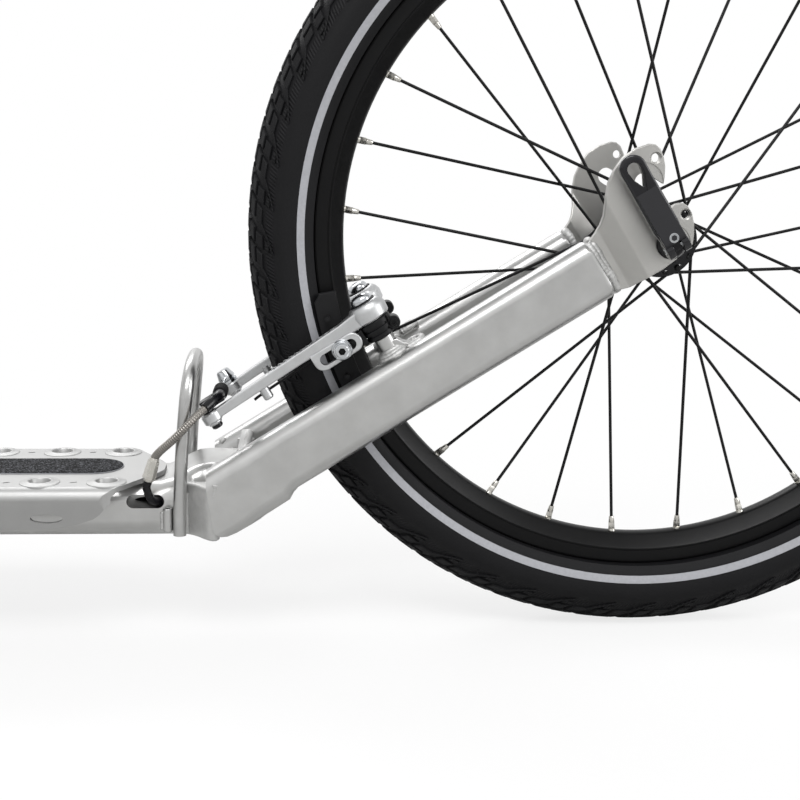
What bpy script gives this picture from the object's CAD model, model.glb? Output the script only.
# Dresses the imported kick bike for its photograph: smooth wheels, satin aluminium, black rubber and cables.
# Sizes are written in millimetres and brought to metres by MM. X runs from the front wheel to the rear
# wheel, Z is up, and the left side of the bike, at -Y, is the side that the camera sees.
import math

import bmesh
import bpy
from mathutils import Matrix, Vector


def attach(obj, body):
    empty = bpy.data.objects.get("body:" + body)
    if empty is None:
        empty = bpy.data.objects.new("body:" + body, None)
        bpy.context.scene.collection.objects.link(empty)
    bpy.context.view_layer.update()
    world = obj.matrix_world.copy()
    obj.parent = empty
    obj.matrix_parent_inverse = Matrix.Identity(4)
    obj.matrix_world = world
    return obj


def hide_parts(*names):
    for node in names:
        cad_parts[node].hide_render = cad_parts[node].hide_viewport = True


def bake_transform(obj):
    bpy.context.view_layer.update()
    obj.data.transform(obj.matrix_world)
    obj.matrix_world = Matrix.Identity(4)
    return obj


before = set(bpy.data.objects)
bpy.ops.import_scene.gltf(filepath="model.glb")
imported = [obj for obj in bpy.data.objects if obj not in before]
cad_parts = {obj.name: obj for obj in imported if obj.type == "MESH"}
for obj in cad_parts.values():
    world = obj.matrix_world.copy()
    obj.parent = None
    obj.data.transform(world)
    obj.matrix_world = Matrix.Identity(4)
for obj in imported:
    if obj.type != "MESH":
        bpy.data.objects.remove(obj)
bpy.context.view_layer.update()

MM = 0.001
FULL = 2 * math.pi
VERT, EDGE = bmesh.types.BMVert, bmesh.types.BMEdge


def spot(x, y, z):
    return Vector((x, y, z)) * MM


def place(x, y, z):
    return Matrix.Translation(spot(x, y, z))


def tilted(degrees):
    """Turns a drawing so that its X axis rises by so many degrees."""
    return Matrix.Rotation(math.radians(-degrees), 4, "Y")


# Middles of the two axles
REAR_HUB_AT = (688.25, 0, 251)
FRONT_HUB_AT = (-611.75, 0, 327.5)
AXLE_X = REAR_HUB_AT[0]
# Radii of the bead seats: a 20 inch wheel at the rear and a 26 inch wheel in front
REAR_SEAT = 203
FRONT_SEAT = 279.5
# The tyre's round casing: its middle above the bead seat, and its radius to the foot of the tread
CASING_UP = 24
CASING_RADIUS = 22.2
# The rim's edge above the bead seat, and its crown below the edge, where the nipples sit
RIM_EDGE = 7.5
CROWN_DEPTH = 18
# The spoke holes in a hub flange: their ring's radius, and the flange from the wheel's middle
HOLE_RING = 19.8
FLANGE_Y = 28.5
# Slopes of the stays and of the dropout slots, and the steering's rake, in degrees
STAY_RISE = 32
SLOT_RISE = -30
STEERING_RAKE = 18.5
# The brake posts: along and above the rear stays, down the fork, and to each side
REAR_POST_X = -174.28
REAR_POST_Z = 26.6
FRONT_POST_Z = -141.57
POST_Y = 31.5
# The handlebar's clamp and its raised ends, on the steering axis
BAR_X = -52
CLAMP_Z = 256
BAR_Z = 288
BAR_BEND_Y = 110
BAR_SWEEP = 6

# Frames that the parts are drawn in, as in the CAD model
BIKE = Matrix.Identity(4)
REAR_AXLE = place(*REAR_HUB_AT)
FRONT_AXLE = place(*FRONT_HUB_AT)
BELOW_AXLE = place(AXLE_X, 0, 0)
STAYS = REAR_AXLE @ tilted(STAY_RISE)
STEERING = place(-442.96, 0, 690.14) @ tilted(-STEERING_RAKE)
REAR_BRAKE = STAYS @ place(REAR_POST_X, 0, REAR_POST_Z)
END_FOR_END = Matrix(((0, 0, -1, 0), (0, -1, 0, 0), (-1, 0, 0, 0), (0, 0, 0, 1)))
FRONT_BRAKE = STEERING @ place(-14, 0, FRONT_POST_Z) @ END_FOR_END


# Modelling helpers: each starts from a bmesh primitive or a few vertices

def moved(bm, matrix):
    bmesh.ops.transform(bm, matrix=matrix, verts=bm.verts)
    return bm


def gather(*parts):
    """Several meshes in one piece."""
    whole = bmesh.new()
    for part in parts:
        mesh = bpy.data.meshes.new("part")
        part.to_mesh(mesh)
        part.free()
        whole.from_mesh(mesh)
        bpy.data.meshes.remove(mesh)
    return whole


def ease(bm, edges, width, segments=3):
    bmesh.ops.bevel(bm, geom=edges, offset=width * MM, offset_type="OFFSET", segments=segments, profile=0.5,
                    affect="EDGES", material=-1, clamp_overlap=True)


def outline(points, corner=0, segments=4):
    """A flat face in the X and Z plane, with its corners rounded."""
    bm = bmesh.new()
    bm.faces.new([bm.verts.new(spot(x, 0, z)) for x, z in points])
    if corner:
        bmesh.ops.bevel(bm, geom=bm.verts[:], offset=corner * MM, offset_type="OFFSET", segments=segments,
                        profile=0.5, affect="VERTICES", material=-1, clamp_overlap=True)
    return bm


def plate(points, low, high, corner=0, edge=0, segments=4):
    """An outline in X and Z with its thickness along Y."""
    bm = moved(outline(points, corner, segments), place(0, low, 0))
    made = bmesh.ops.extrude_face_region(bm, geom=bm.faces[:])["geom"]
    bmesh.ops.translate(bm, verts=[v for v in made if isinstance(v, VERT)], vec=spot(0, high - low, 0))
    if edge:
        rim = [e for e in bm.edges if abs(e.verts[0].co.y - e.verts[1].co.y) < 1e-7]
        ease(bm, rim, edge)
    return bm


def slab(points, low, high, corner=0, edge=0, segments=4):
    """An outline in X and Y with its thickness along Z."""
    return moved(plate(points, -high, -low, corner, edge, segments), Matrix.Rotation(-math.pi / 2, 4, "X"))


def obround(x, z, length, width, angle=0, sides=12):
    """The outline of a slot with round ends."""
    half = (length - width) / 2
    turn = math.radians(angle)
    points = []
    for end, first in ((1, -math.pi / 2), (-1, math.pi / 2)):
        for step in range(sides + 1):
            a = turn + first + math.pi * step / sides
            points.append((x + end * half * math.cos(turn) + width / 2 * math.cos(a),
                           z + end * half * math.sin(turn) + width / 2 * math.sin(a)))
    return points


def block(low, high, edge=0):
    bm = bmesh.new()
    size = [b - a for a, b in zip(low, high)]
    middle = [(a + b) / 2 for a, b in zip(low, high)]
    bmesh.ops.create_cube(bm, size=1, matrix=place(*middle) @ Matrix.Diagonal([s * MM for s in size] + [1]))
    if edge:
        ease(bm, bm.edges[:], edge)
    return bm


def rod(radius, start, end, sides, tip=None, edge=0):
    a, b = spot(*start), spot(*end)
    bm = bmesh.new()
    bmesh.ops.create_cone(bm, cap_ends=True, cap_tris=False, segments=sides, radius1=radius * MM,
                          radius2=(radius if tip is None else tip) * MM, depth=(b - a).length)
    if edge:
        ease(bm, [e for e in bm.edges if abs(e.verts[0].co.z - e.verts[1].co.z) < 1e-7], edge, 2)
    return moved(bm, Matrix.Translation((a + b) / 2) @ (b - a).to_track_quat("Z", "Y").to_matrix().to_4x4())


def ball(radius, x, y, z):
    bm = bmesh.new()
    bmesh.ops.create_uvsphere(bm, u_segments=20, v_segments=12, radius=radius * MM)
    return moved(bm, place(x, y, z))


def turned(profile, steps):
    """A closed outline of (place along Y, radius), spun round the Y axis like lathe work."""
    flat = outline([(radius, along) for along, radius in profile])
    bm = moved(flat, Matrix.Rotation(-math.pi / 2, 4, "X"))
    bmesh.ops.delete(bm, geom=bm.faces[:], context="FACES_ONLY")
    on_axis = [e for e in bm.edges if all(v.co.x < 1e-6 for v in e.verts)]
    bmesh.ops.delete(bm, geom=on_axis, context="EDGES")
    bmesh.ops.spin(bm, geom=bm.verts[:] + bm.edges[:], cent=(0, 0, 0), axis=(0, 1, 0), dvec=(0, 0, 0),
                   angle=FULL, steps=steps, use_merge=True, use_duplicate=False)
    bmesh.ops.remove_doubles(bm, verts=bm.verts, dist=1e-7)
    return bm


def turned_up(profile, steps):
    """The same, spun round the Z axis."""
    return moved(turned(profile, steps), Matrix.Rotation(math.pi / 2, 4, "X"))


def around(bm, count):
    """Repeats a mesh evenly round the Y axis."""
    bmesh.ops.spin(bm, geom=bm.verts[:] + bm.edges[:] + bm.faces[:], cent=(0, 0, 0), axis=(0, 1, 0),
                   dvec=(0, 0, 0), angle=FULL * (count - 1) / count, steps=count - 1, use_merge=False,
                   use_duplicate=True)
    return bm


def round_ring(radius, sides):
    bm = bmesh.new()
    bmesh.ops.create_circle(bm, cap_ends=False, segments=sides, radius=radius * MM)
    return bm


def box_ring(half_x, half_y, corner, segments):
    """A rounded rectangle round the origin, without its face."""
    bm = bmesh.new()
    bmesh.ops.create_grid(bm, x_segments=1, y_segments=1, size=1,
                          matrix=Matrix.Diagonal((half_x * MM, half_y * MM, 1, 1)))
    bmesh.ops.bevel(bm, geom=bm.verts[:], offset=corner * MM, offset_type="OFFSET", segments=segments,
                    profile=0.5, affect="VERTICES", material=-1, clamp_overlap=True)
    bmesh.ops.delete(bm, geom=bm.faces[:], context="FACES_ONLY")
    return bm


def swept(bm, stations):
    """Carries a ring from station to station, and closes both ends."""
    front = start = bm.edges[:]
    moved(bm, stations[0])
    for before, after in zip(stations, stations[1:]):
        made = bmesh.ops.extrude_edge_only(bm, edges=front)["geom"]
        carried = [g for g in made if isinstance(g, VERT)]
        held = set(carried)
        front = [g for g in made if isinstance(g, EDGE) and held.issuperset(g.verts)]
        bmesh.ops.transform(bm, matrix=after @ before.inverted(), verts=carried)
    bmesh.ops.edgeloop_fill(bm, edges=start)
    bmesh.ops.edgeloop_fill(bm, edges=front)
    return bm


def route(points, steps):
    """Points on a smooth centripetal curve through the given places."""
    knots = [spot(*p) for p in points]
    knots = [2 * knots[0] - knots[1]] + knots + [2 * knots[-1] - knots[-2]]
    found = []
    for a, b, c, d in zip(knots, knots[1:], knots[2:], knots[3:]):
        t1 = math.sqrt((b - a).length)
        t2 = t1 + math.sqrt((c - b).length)
        t3 = t2 + math.sqrt((d - c).length)
        for step in range(steps):
            t = t1 + (t2 - t1) * step / steps
            ab, bc = a.lerp(b, t / t1), b.lerp(c, (t - t1) / (t2 - t1))
            cd = c.lerp(d, (t - t2) / (t3 - t2))
            abc, bcd = ab.lerp(bc, t / t2), bc.lerp(cd, (t - t1) / (t3 - t1))
            found.append(abc.lerp(bcd, (t - t1) / (t2 - t1)))
    return found + [knots[-2]]


def stations(points, scales=None):
    """Frames along a route, with their Z axes along it and no twist."""
    aim = (points[1] - points[0]).normalized()
    turn = aim.to_track_quat("Z", "Y")
    found = []
    for i, point in enumerate(points):
        ahead = (points[min(i + 1, len(points) - 1)] - points[max(i - 1, 0)]).normalized()
        turn = aim.rotation_difference(ahead) @ turn
        aim = ahead
        sx, sy = scales[i] if scales else (1, 1)
        found.append(Matrix.Translation(point) @ turn.to_matrix().to_4x4() @ Matrix.Diagonal((sx, sy, 1, 1)))
    return found


def cable(radius, points, steps, sides):
    return swept(round_ring(radius, sides), stations(route(points, steps)))


def weld(radius, points, flat=0.8, ripple=0.16):
    """A weld bead, laid as a row of overlapping ripples along a route; its size wanders a little."""
    line = route(points, 6)
    pitch, walked, dense = 2.4 * MM, 0, [line[0]]
    for a, b in zip(line, line[1:]):
        count = max(1, round((b - a).length / (pitch / 4)))
        dense += [a.lerp(b, (k + 1) / count) for k in range(count)]
    scales = []
    for i in range(len(dense)):
        walked += (dense[i] - dense[i - 1]).length if i else 0
        wave = abs(math.sin(math.pi * walked / pitch))
        wander = 1 + 0.07 * math.sin(walked * 310) + 0.05 * math.sin(walked * 770 + 1)
        size = (1 - ripple + ripple * wave) * wander
        scales.append((size, size * flat))
    scales[0] = scales[-1] = (0.35, 0.3)
    return swept(round_ring(radius, 14), stations(dense, scales))


def carve(bm, *tools, operation="DIFFERENCE"):
    """Cuts tools out of a solid, or keeps what they share."""
    made = []
    for part in (bm, *tools):
        bmesh.ops.remove_doubles(part, verts=part.verts, dist=1e-7)
        bmesh.ops.recalc_face_normals(part, faces=part.faces)
        mesh = bpy.data.meshes.new("carving")
        part.to_mesh(mesh)
        part.free()
        made.append(bpy.data.objects.new("carving", mesh))
        bpy.context.scene.collection.objects.link(made[-1])
    for tool in made[1:]:
        cut = made[0].modifiers.new("cut", "BOOLEAN")
        cut.object, cut.operation, cut.solver = tool, operation, "EXACT"
    evaluated = made[0].evaluated_get(bpy.context.evaluated_depsgraph_get())
    result = bmesh.new()
    result.from_mesh(evaluated.to_mesh())
    evaluated.to_mesh_clear()
    for part in made:
        bpy.data.meshes.remove(part.data)
    return result


def piece(name, bm, at, body, finish, replaced=(), angle=32, level=True, bend=None):
    """Puts a finished mesh in the bike, with its material, and fastens it to a body."""
    moved(bm, at)
    bmesh.ops.remove_doubles(bm, verts=bm.verts, dist=1e-7)
    bmesh.ops.dissolve_degenerate(bm, edges=bm.edges, dist=1e-7)
    bmesh.ops.recalc_face_normals(bm, faces=bm.faces)
    mesh = bpy.data.meshes.new(name)
    bm.to_mesh(mesh)
    bm.free()
    mesh.shade_smooth()
    mesh.set_sharp_from_angle(angle=math.radians(angle))
    mesh.materials.append(finish)
    made = bpy.data.objects.new(name, mesh)
    bpy.context.scene.collection.objects.link(made)
    if bend:
        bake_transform(made)
    else:
        if level:
            shading = made.modifiers.new("level shading", "WEIGHTED_NORMAL")
            shading.keep_sharp = True
        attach(made, body)
    if replaced:
        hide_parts(*replaced)
    return made


def handed(side, bm):
    """Leaves a mesh as it is drawn for side 1, and mirrors it across the bike for side -1."""
    if side < 0:
        bmesh.ops.transform(bm, matrix=Matrix.Scale(-1, 4, (0, 1, 0)), verts=bm.verts)
        bmesh.ops.reverse_faces(bm, faces=bm.faces)
    return bm


# Finishes

def paint(code):
    """An sRGB hex colour as the linear values that the shader wants."""
    parts = [int(code[i:i + 2], 16) / 255 for i in (1, 3, 5)]
    return [c / 12.92 if c <= 0.04045 else ((c + 0.055) / 1.055) ** 2.4 for c in parts] + [1]


def add(tree, kind, settings=None, **links):
    """Adds a node, sets its properties, and sets or links its sockets, by name or, as in _0, by number."""
    node = tree.nodes.new(kind)
    for key, value in (settings or {}).items():
        setattr(node, key, value)
    for key, value in links.items():
        socket = node.inputs[int(key[1:])] if key[1:].isdigit() else node.inputs[key.replace("_", " ")]
        if isinstance(value, bpy.types.NodeSocket):
            tree.links.new(value, socket)
        else:
            socket.default_value = value
    return node


def surface(name, colour, metallic, roughness, **sockets):
    """A material with its shader, ready for patterns; returns both."""
    finish = bpy.data.materials.new(name)
    finish.use_nodes = True
    tree = finish.node_tree
    shader = tree.nodes["Principled BSDF"]
    shader.inputs["Base Color"].default_value = paint(colour)
    shader.inputs["Metallic"].default_value = metallic
    shader.inputs["Roughness"].default_value = roughness
    for key, value in sockets.items():
        shader.inputs[key.replace("_", " ")].default_value = value
    return finish, tree, shader


def object_place(tree, rotation=(0, 0, 0)):
    where = add(tree, "ShaderNodeTexCoord").outputs["Object"]
    return add(tree, "ShaderNodeMapping", Vector=where, Rotation=rotation).outputs["Vector"]


def mottled(tree, shader, where, low, high, size, rough_low, rough_high):
    """Lets the colour and the roughness wander over patches of about size millimetres."""
    cloud = add(tree, "ShaderNodeTexNoise", Vector=where, Scale=1 / (size * MM), Detail=4, Roughness=0.6)
    mix = add(tree, "ShaderNodeMix", {"data_type": "RGBA"}, Factor=cloud.outputs[0])
    mix.inputs[6].default_value, mix.inputs[7].default_value = paint(low), paint(high)
    tree.links.new(mix.outputs[2], shader.inputs["Base Color"])
    gloss = add(tree, "ShaderNodeMapRange", Value=cloud.outputs[0], To_Min=rough_low, To_Max=rough_high)
    tree.links.new(gloss.outputs[0], shader.inputs["Roughness"])
    return cloud


def bumped(tree, shader, height, depth):
    """Relief of so many millimetres from a pattern."""
    bump = add(tree, "ShaderNodeBump", Height=height, Distance=depth * MM, Strength=1.0)
    tree.links.new(bump.outputs["Normal"], shader.inputs["Normal"])


def brushed_aluminium(name, slope, low="#AFAFAE", high="#D2D2D1", rough=(0.25, 0.42)):
    """Extruded aluminium, brushed along its length and then matt anodised: a soft silver with fine streaks
    along the tube and long highlights on its rounded edges."""
    finish, tree, shader = surface(name, high, 1.0, 0.34)
    along = object_place(tree, rotation=(0, math.radians(slope), 0))
    mottled(tree, shader, along, low, high, 26, *rough)
    # Streaks of 0.9 mm across and 25 times as long; real ones are finer and wouldn't show
    stretched = add(tree, "ShaderNodeMapping", Vector=along, Scale=(0.04, 1, 1)).outputs["Vector"]
    streak = add(tree, "ShaderNodeTexNoise", Vector=stretched, Scale=1 / (0.9 * MM), Detail=2).outputs[0]
    bumped(tree, shader, streak, 0.02)
    return finish


def cast_alloy():
    """Cast aluminium brake arms under a satin silver lacquer: even, slightly cloudy, with soft edges."""
    finish, tree, shader = surface("lacquered cast aluminium", "#C4C5C6", 1.0, 0.4, Coat_Weight=0.15,
                                   Coat_Roughness=0.3)
    where = object_place(tree)
    cloud = mottled(tree, shader, where, "#BABBBC", "#CECFD0", 7, 0.36, 0.48)
    bumped(tree, shader, cloud.outputs[0], 0.03)
    return finish


def weld_metal():
    """Bare weld metal, blasted before anodising: paler and duller than the tubes, with a fine frost."""
    finish, tree, shader = surface("frosted weld aluminium", "#C9CACA", 0.9, 0.55)
    where = object_place(tree)
    mottled(tree, shader, where, "#B2B2B1", "#D6D6D5", 5, 0.46, 0.68)
    grain = add(tree, "ShaderNodeTexNoise", Vector=where, Scale=1 / (1.1 * MM), Detail=3).outputs[0]
    bumped(tree, shader, grain, 0.16)
    return finish


def polished_steel(name="polished steel", low="#BDC0C4", high="#D6D8DA", rough=(0.12, 0.24)):
    """Bright plated steel: clear reflections, faint polishing marks."""
    finish, tree, shader = surface(name, high, 1.0, 0.16)
    where = object_place(tree)
    mottled(tree, shader, where, low, high, 14, *rough)
    return finish


def black_metal(name, low, high, rough, metallic, coat=0.0):
    """Black anodised or lacquered metal: near black, with a soft sheen that wanders a little."""
    finish, tree, shader = surface(name, high, metallic, 0.4, Coat_Weight=coat, Coat_Roughness=0.18,
                                   Specular_IOR_Level=0.22)
    where = object_place(tree)
    cloud = mottled(tree, shader, where, low, high, 9, *rough)
    bumped(tree, shader, cloud.outputs[0], 0.02)
    return finish


def soft_black(name, low, high, rough, grain, depth):
    """Moulded rubber or plastic: matt, with a fine grain and slightly lighter worn patches."""
    finish, tree, shader = surface(name, high, 0.0, 0.7, IOR=1.5, Specular_IOR_Level=0.24)
    where = object_place(tree)
    mottled(tree, shader, where, low, high, 12, *rough)
    speck = add(tree, "ShaderNodeTexNoise", Vector=where, Scale=1 / (grain * MM), Detail=3).outputs[0]
    bumped(tree, shader, speck, depth)
    return finish


def tyre_rubber(name, hub_at, seat):
    """Vulcanised rubber from a mould: dull grey-black, with a band of fine slanting ribs between the tread
    and the smooth sidewall."""
    finish, tree, shader = surface(name, "#0E0E10", 0.0, 0.62, IOR=1.5, Specular_IOR_Level=0.2)
    where = add(tree, "ShaderNodeTexCoord").outputs["Object"]
    hub = add(tree, "ShaderNodeVectorMath", {"operation": "SUBTRACT"}, _0=where,
              _1=[c * MM for c in hub_at]).outputs[0]
    mottled(tree, shader, where, "#0B0B0D", "#151517", 18, 0.5, 0.7)
    split = add(tree, "ShaderNodeSeparateXYZ", Vector=hub)
    x, z = split.outputs["X"], split.outputs["Z"]
    turn = add(tree, "ShaderNodeMath", {"operation": "ARCTAN2"}, _0=z, _1=x).outputs[0]
    flat = add(tree, "ShaderNodeCombineXYZ", X=x, Z=z).outputs[0]
    radius = add(tree, "ShaderNodeVectorMath", {"operation": "LENGTH"}, _0=flat).outputs["Value"]
    # Ribs 2.2 mm apart round the wheel; the real ones are half that and would not show
    across = add(tree, "ShaderNodeMath", {"operation": "MULTIPLY"}, _0=turn,
                 _1=round((seat + 38) * FULL / 2.2)).outputs[0]
    slant = add(tree, "ShaderNodeMath", {"operation": "MULTIPLY"}, _0=radius, _1=1.9 / MM).outputs[0]
    wave = add(tree, "ShaderNodeMath", {"operation": "SINE"}, _0=add(
        tree, "ShaderNodeMath", {"operation": "ADD"}, _0=across, _1=slant).outputs[0]).outputs[0]
    band = add(tree, "ShaderNodeMapRange", {"interpolation_type": "SMOOTHSTEP"}, Value=add(
        tree, "ShaderNodeMath", {"operation": "ABSOLUTE"}, _0=add(
            tree, "ShaderNodeMath", {"operation": "SUBTRACT"}, _0=radius,
            _1=(seat + 34.5) * MM).outputs[0]).outputs[0],
        From_Min=0.0028, From_Max=0.0018, To_Min=0.0, To_Max=1.0).outputs[0]
    ribs = add(tree, "ShaderNodeMath", {"operation": "MULTIPLY"}, _0=wave, _1=band).outputs[0]
    grain = add(tree, "ShaderNodeTexNoise", Vector=where, Scale=1 / (1.2 * MM), Detail=3).outputs[0]
    relief = add(tree, "ShaderNodeMath", {"operation": "ADD"}, _0=ribs, _1=grain).outputs[0]
    bumped(tree, shader, relief, 0.14)
    return finish


def reflective_band():
    """Glass-bead reflective tape moulded into the sidewall: flat light grey, a little grainy."""
    finish, tree, shader = surface("reflective tape", "#A3A4A9", 0.0, 0.6)
    where = object_place(tree)
    mottled(tree, shader, where, "#97989D", "#B2B3B8", 2.2, 0.5, 0.7)
    return finish


def grit_tape():
    """Grip tape: silicon carbide grit glued on black paper, so dull black with scattered grey specks."""
    finish, tree, shader = surface("silicon carbide grit tape", "#141416", 0.0, 0.85, Specular_IOR_Level=0.2)
    where = object_place(tree)
    # Grains of 0.9 mm, about twice the real size, so that they show
    grains = add(tree, "ShaderNodeTexVoronoi", Vector=where, Scale=1 / (0.9 * MM))
    tint = add(tree, "ShaderNodeSeparateXYZ", Vector=grains.outputs["Color"]).outputs["X"]
    ramp = add(tree, "ShaderNodeValToRGB", Fac=tint)
    ramp.color_ramp.elements[0].color = paint("#08080A")
    ramp.color_ramp.elements[1].color = paint("#6A6B70")
    middle = ramp.color_ramp.elements.new(0.62)
    middle.color = paint("#17181A")
    tree.links.new(ramp.outputs["Color"], shader.inputs["Base Color"])
    bumped(tree, shader, grains.outputs["Distance"], 0.5)
    return finish


# The streaks of each run along its own tube, so the number is that tube's slope in degrees
SATIN_TUBE = brushed_aluminium("brushed anodised aluminium tube", -STAY_RISE)
SATIN_FRAME = brushed_aluminium("brushed anodised aluminium frame", 0)
SATIN_BOARD = brushed_aluminium("anodised aluminium sheet", 0, "#A6A6A6", "#B6B6B5", (0.44, 0.56))
SATIN_PLATE = brushed_aluminium("anodised aluminium plate", 58, "#B0AFAC", "#C4C3C0", (0.34, 0.48))
SATIN_FORK = brushed_aluminium("brushed anodised aluminium fork", 90 - STEERING_RAKE)
WELD = weld_metal()
SILVER = cast_alloy()
BRIGHT = polished_steel()
SATIN_ROD = polished_steel("polished aluminium rod", "#ABABAA", "#CECECD", (0.24, 0.38))
NICKEL = polished_steel("nickel plated brass", "#B9B6AF", "#D6D4CE", (0.2, 0.34))
COIL = polished_steel("coiled stainless steel", "#76736F", "#A09C97", (0.24, 0.36))
BLACK_RIM = black_metal("black anodised rim aluminium", "#050506", "#0A0A0B", (0.3, 0.42), 0.2)
BLACK_ALLOY = black_metal("black anodised aluminium", "#0A0A0D", "#121216", (0.2, 0.32), 0.1, 0.25)
BLACK_LEVER = black_metal("black anodised lever", "#0C0C10", "#17171D", (0.14, 0.22), 0.6, 0.8)
BLACK_STEEL = black_metal("black oxide spoke steel", "#0A0A0B", "#111112", (0.34, 0.46), 0.1)
RUBBER = soft_black("moulded rubber", "#0F0F10", "#1A1A1C", (0.55, 0.75), 1.4, 0.06)
PLASTIC = soft_black("glass filled nylon", "#08080A", "#111113", (0.34, 0.5), 1.0, 0.04)
HOUSING = soft_black("cable housing plastic", "#0C0C0E", "#151518", (0.22, 0.34), 2.0, 0.02)
REAR_TYRE = tyre_rubber("rear tyre rubber", REAR_HUB_AT, REAR_SEAT)
FRONT_TYRE = tyre_rubber("front tyre rubber", FRONT_HUB_AT, FRONT_SEAT)
BAND = reflective_band()
GRIT = grit_tape()
# Next to no light gets into the frame tube, so its inside is nearly black
SHADED = black_metal("unbrushed aluminium inside the tube", "#0E0E0F", "#161617", (0.6, 0.8), 0.2)


# Camera, light and floor

def photograph_camera():
    """The view of the photograph: the camera's own axes, from its yaw, pitch and roll."""
    yaw, pitch, roll = -0.0661, 0.1968, 0.0144
    ahead = Vector((-math.sin(yaw) * math.cos(pitch), math.cos(yaw) * math.cos(pitch), -math.sin(pitch)))
    right = Vector((math.cos(yaw), math.sin(yaw), 0))
    up = right.cross(ahead)
    across = math.cos(roll) * right + math.sin(roll) * up
    upward = -math.sin(roll) * right + math.cos(roll) * up
    data = bpy.data.cameras.new("camera")
    data.sensor_width, data.lens = 36, 61.593
    data.clip_start, data.clip_end = 0.05, 50
    camera = bpy.data.objects.new("camera", data)
    turn = Matrix((across, upward, -ahead)).transposed().to_4x4()
    camera.matrix_world = place(476.255, -853.27, 316.428) @ turn
    bpy.context.scene.collection.objects.link(camera)
    bpy.context.scene.camera = camera


def softbox(name, at, towards, width, height, watts):
    data = bpy.data.lights.new(name, "AREA")
    data.shape, data.size, data.size_y, data.energy = "RECTANGLE", width, height, watts
    lamp = bpy.data.objects.new(name, data)
    aim = Vector(towards) - Vector(at)
    lamp.matrix_world = Matrix.Translation(at) @ aim.to_track_quat("-Z", "Y").to_matrix().to_4x4()
    bpy.context.scene.collection.objects.link(lamp)


def seen_from(tree):
    """Whether the camera sees a place, straight or through clear things, and whether a reflection does."""
    path = add(tree, "ShaderNodeLightPath")
    seen = add(tree, "ShaderNodeMath", {"operation": "MAXIMUM"}, _0=path.outputs["Is Camera Ray"],
               _1=path.outputs["Is Transmission Ray"]).outputs[0]
    return seen, path.outputs["Is Glossy Ray"]


def studio():
    bpy.context.scene.view_settings.view_transform = "Standard"
    world = bpy.data.worlds.new("studio")
    world.use_nodes = True
    bpy.context.scene.world = world
    tree = world.node_tree
    seen, glossy = seen_from(tree)
    # Reflections see a white horizon and a greyer top, as in a light tent, and the camera plain white
    height = add(tree, "ShaderNodeSeparateXYZ", Vector=add(tree, "ShaderNodeTexCoord").outputs["Generated"])
    tent = add(tree, "ShaderNodeMapRange", {"interpolation_type": "SMOOTHSTEP"}, Value=height.outputs["Z"],
               From_Min=-0.25, From_Max=0.75, To_Min=1.04, To_Max=0.86).outputs[0]
    level = add(tree, "ShaderNodeMix", {"data_type": "FLOAT"}, _0=glossy, _2=0.55, _3=tent).outputs[0]
    final = add(tree, "ShaderNodeMix", {"data_type": "FLOAT"}, _0=seen, _2=level, _3=1.0).outputs[0]
    tree.links.new(final, tree.nodes["Background"].inputs["Strength"])
    tree.nodes["Background"].inputs["Color"].default_value = paint("#FFFFFF")
    softbox("key softbox", (0.3, -1.5, 2.3), (0.3, 0, 0.3), 1.6, 1.0, 34)
    softbox("side softbox", (2.4, -0.7, 1.1), (0.5, 0, 0.3), 0.8, 1.2, 16)
    softbox("back softbox", (-0.4, 1.8, 1.9), (0.2, 0, 0.3), 1.8, 0.8, 22)

    floor, tree, shader = surface("white studio floor", "#F4F4F4", 0.0, 0.9)
    seen, _ = seen_from(tree)
    # The bike itself sees a greyer floor, so that its undersides stay in shade
    tone = add(tree, "ShaderNodeMix", {"data_type": "RGBA"}, _0=seen, _6=paint("#CACAC9"),
               _7=paint("#F4F4F4"))
    tree.links.new(tone.outputs[2], shader.inputs["Base Color"])
    glow = add(tree, "ShaderNodeEmission", Color=paint("#FFFFFF"), Strength=1.0)
    # The shadow under the bike stays, and the floor goes over into the white background behind it
    where = add(tree, "ShaderNodeTexCoord").outputs["Object"]
    flat = add(tree, "ShaderNodeVectorMath", {"operation": "MULTIPLY"}, _0=where,
               _1=(0.72, 1.5, 0)).outputs[0]
    away = add(tree, "ShaderNodeVectorMath", {"operation": "LENGTH"}, _0=flat).outputs["Value"]
    white = add(tree, "ShaderNodeMapRange", {"interpolation_type": "SMOOTHSTEP"}, Value=away, From_Min=0.25,
                From_Max=1.1, To_Min=0.72, To_Max=1.0).outputs[0]
    share = add(tree, "ShaderNodeMath", {"operation": "MULTIPLY"}, _0=seen, _1=white).outputs[0]
    blend = add(tree, "ShaderNodeMixShader", _0=share, _1=shader.outputs[0], _2=glow.outputs[0])
    tree.links.new(blend.outputs[0], tree.nodes["Material Output"].inputs["Surface"])
    bm = bmesh.new()
    bmesh.ops.create_grid(bm, x_segments=1, y_segments=1, size=30)
    mesh = bpy.data.meshes.new("studio_floor")
    bm.to_mesh(mesh)
    bm.free()
    mesh.materials.append(floor)
    ground = bpy.data.objects.new("studio_floor", mesh)
    ground.location.z = -0.0005
    bpy.context.scene.collection.objects.link(ground)


photograph_camera()
studio()


# Wheels

def tyre_surface(seat, turn, across, lift):
    """A place on the tyre: turn round the wheel, millimetres across from the middle, lift off the casing."""
    section = across / 24
    reach = CASING_RADIUS + lift
    radius = seat + CASING_UP + reach * math.cos(section)
    return spot(radius * math.cos(turn), reach * math.sin(section), radius * math.sin(turn))


def wrap_tread(bm, seat, first, outer):
    """Bends a flat block, drawn with X round the wheel and Y across it, onto the tyre."""
    for v in bm.verts:
        u, across, lift = v.co / MM
        v.co = tyre_surface(seat, first + u / outer, across, lift)
    return bm


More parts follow.
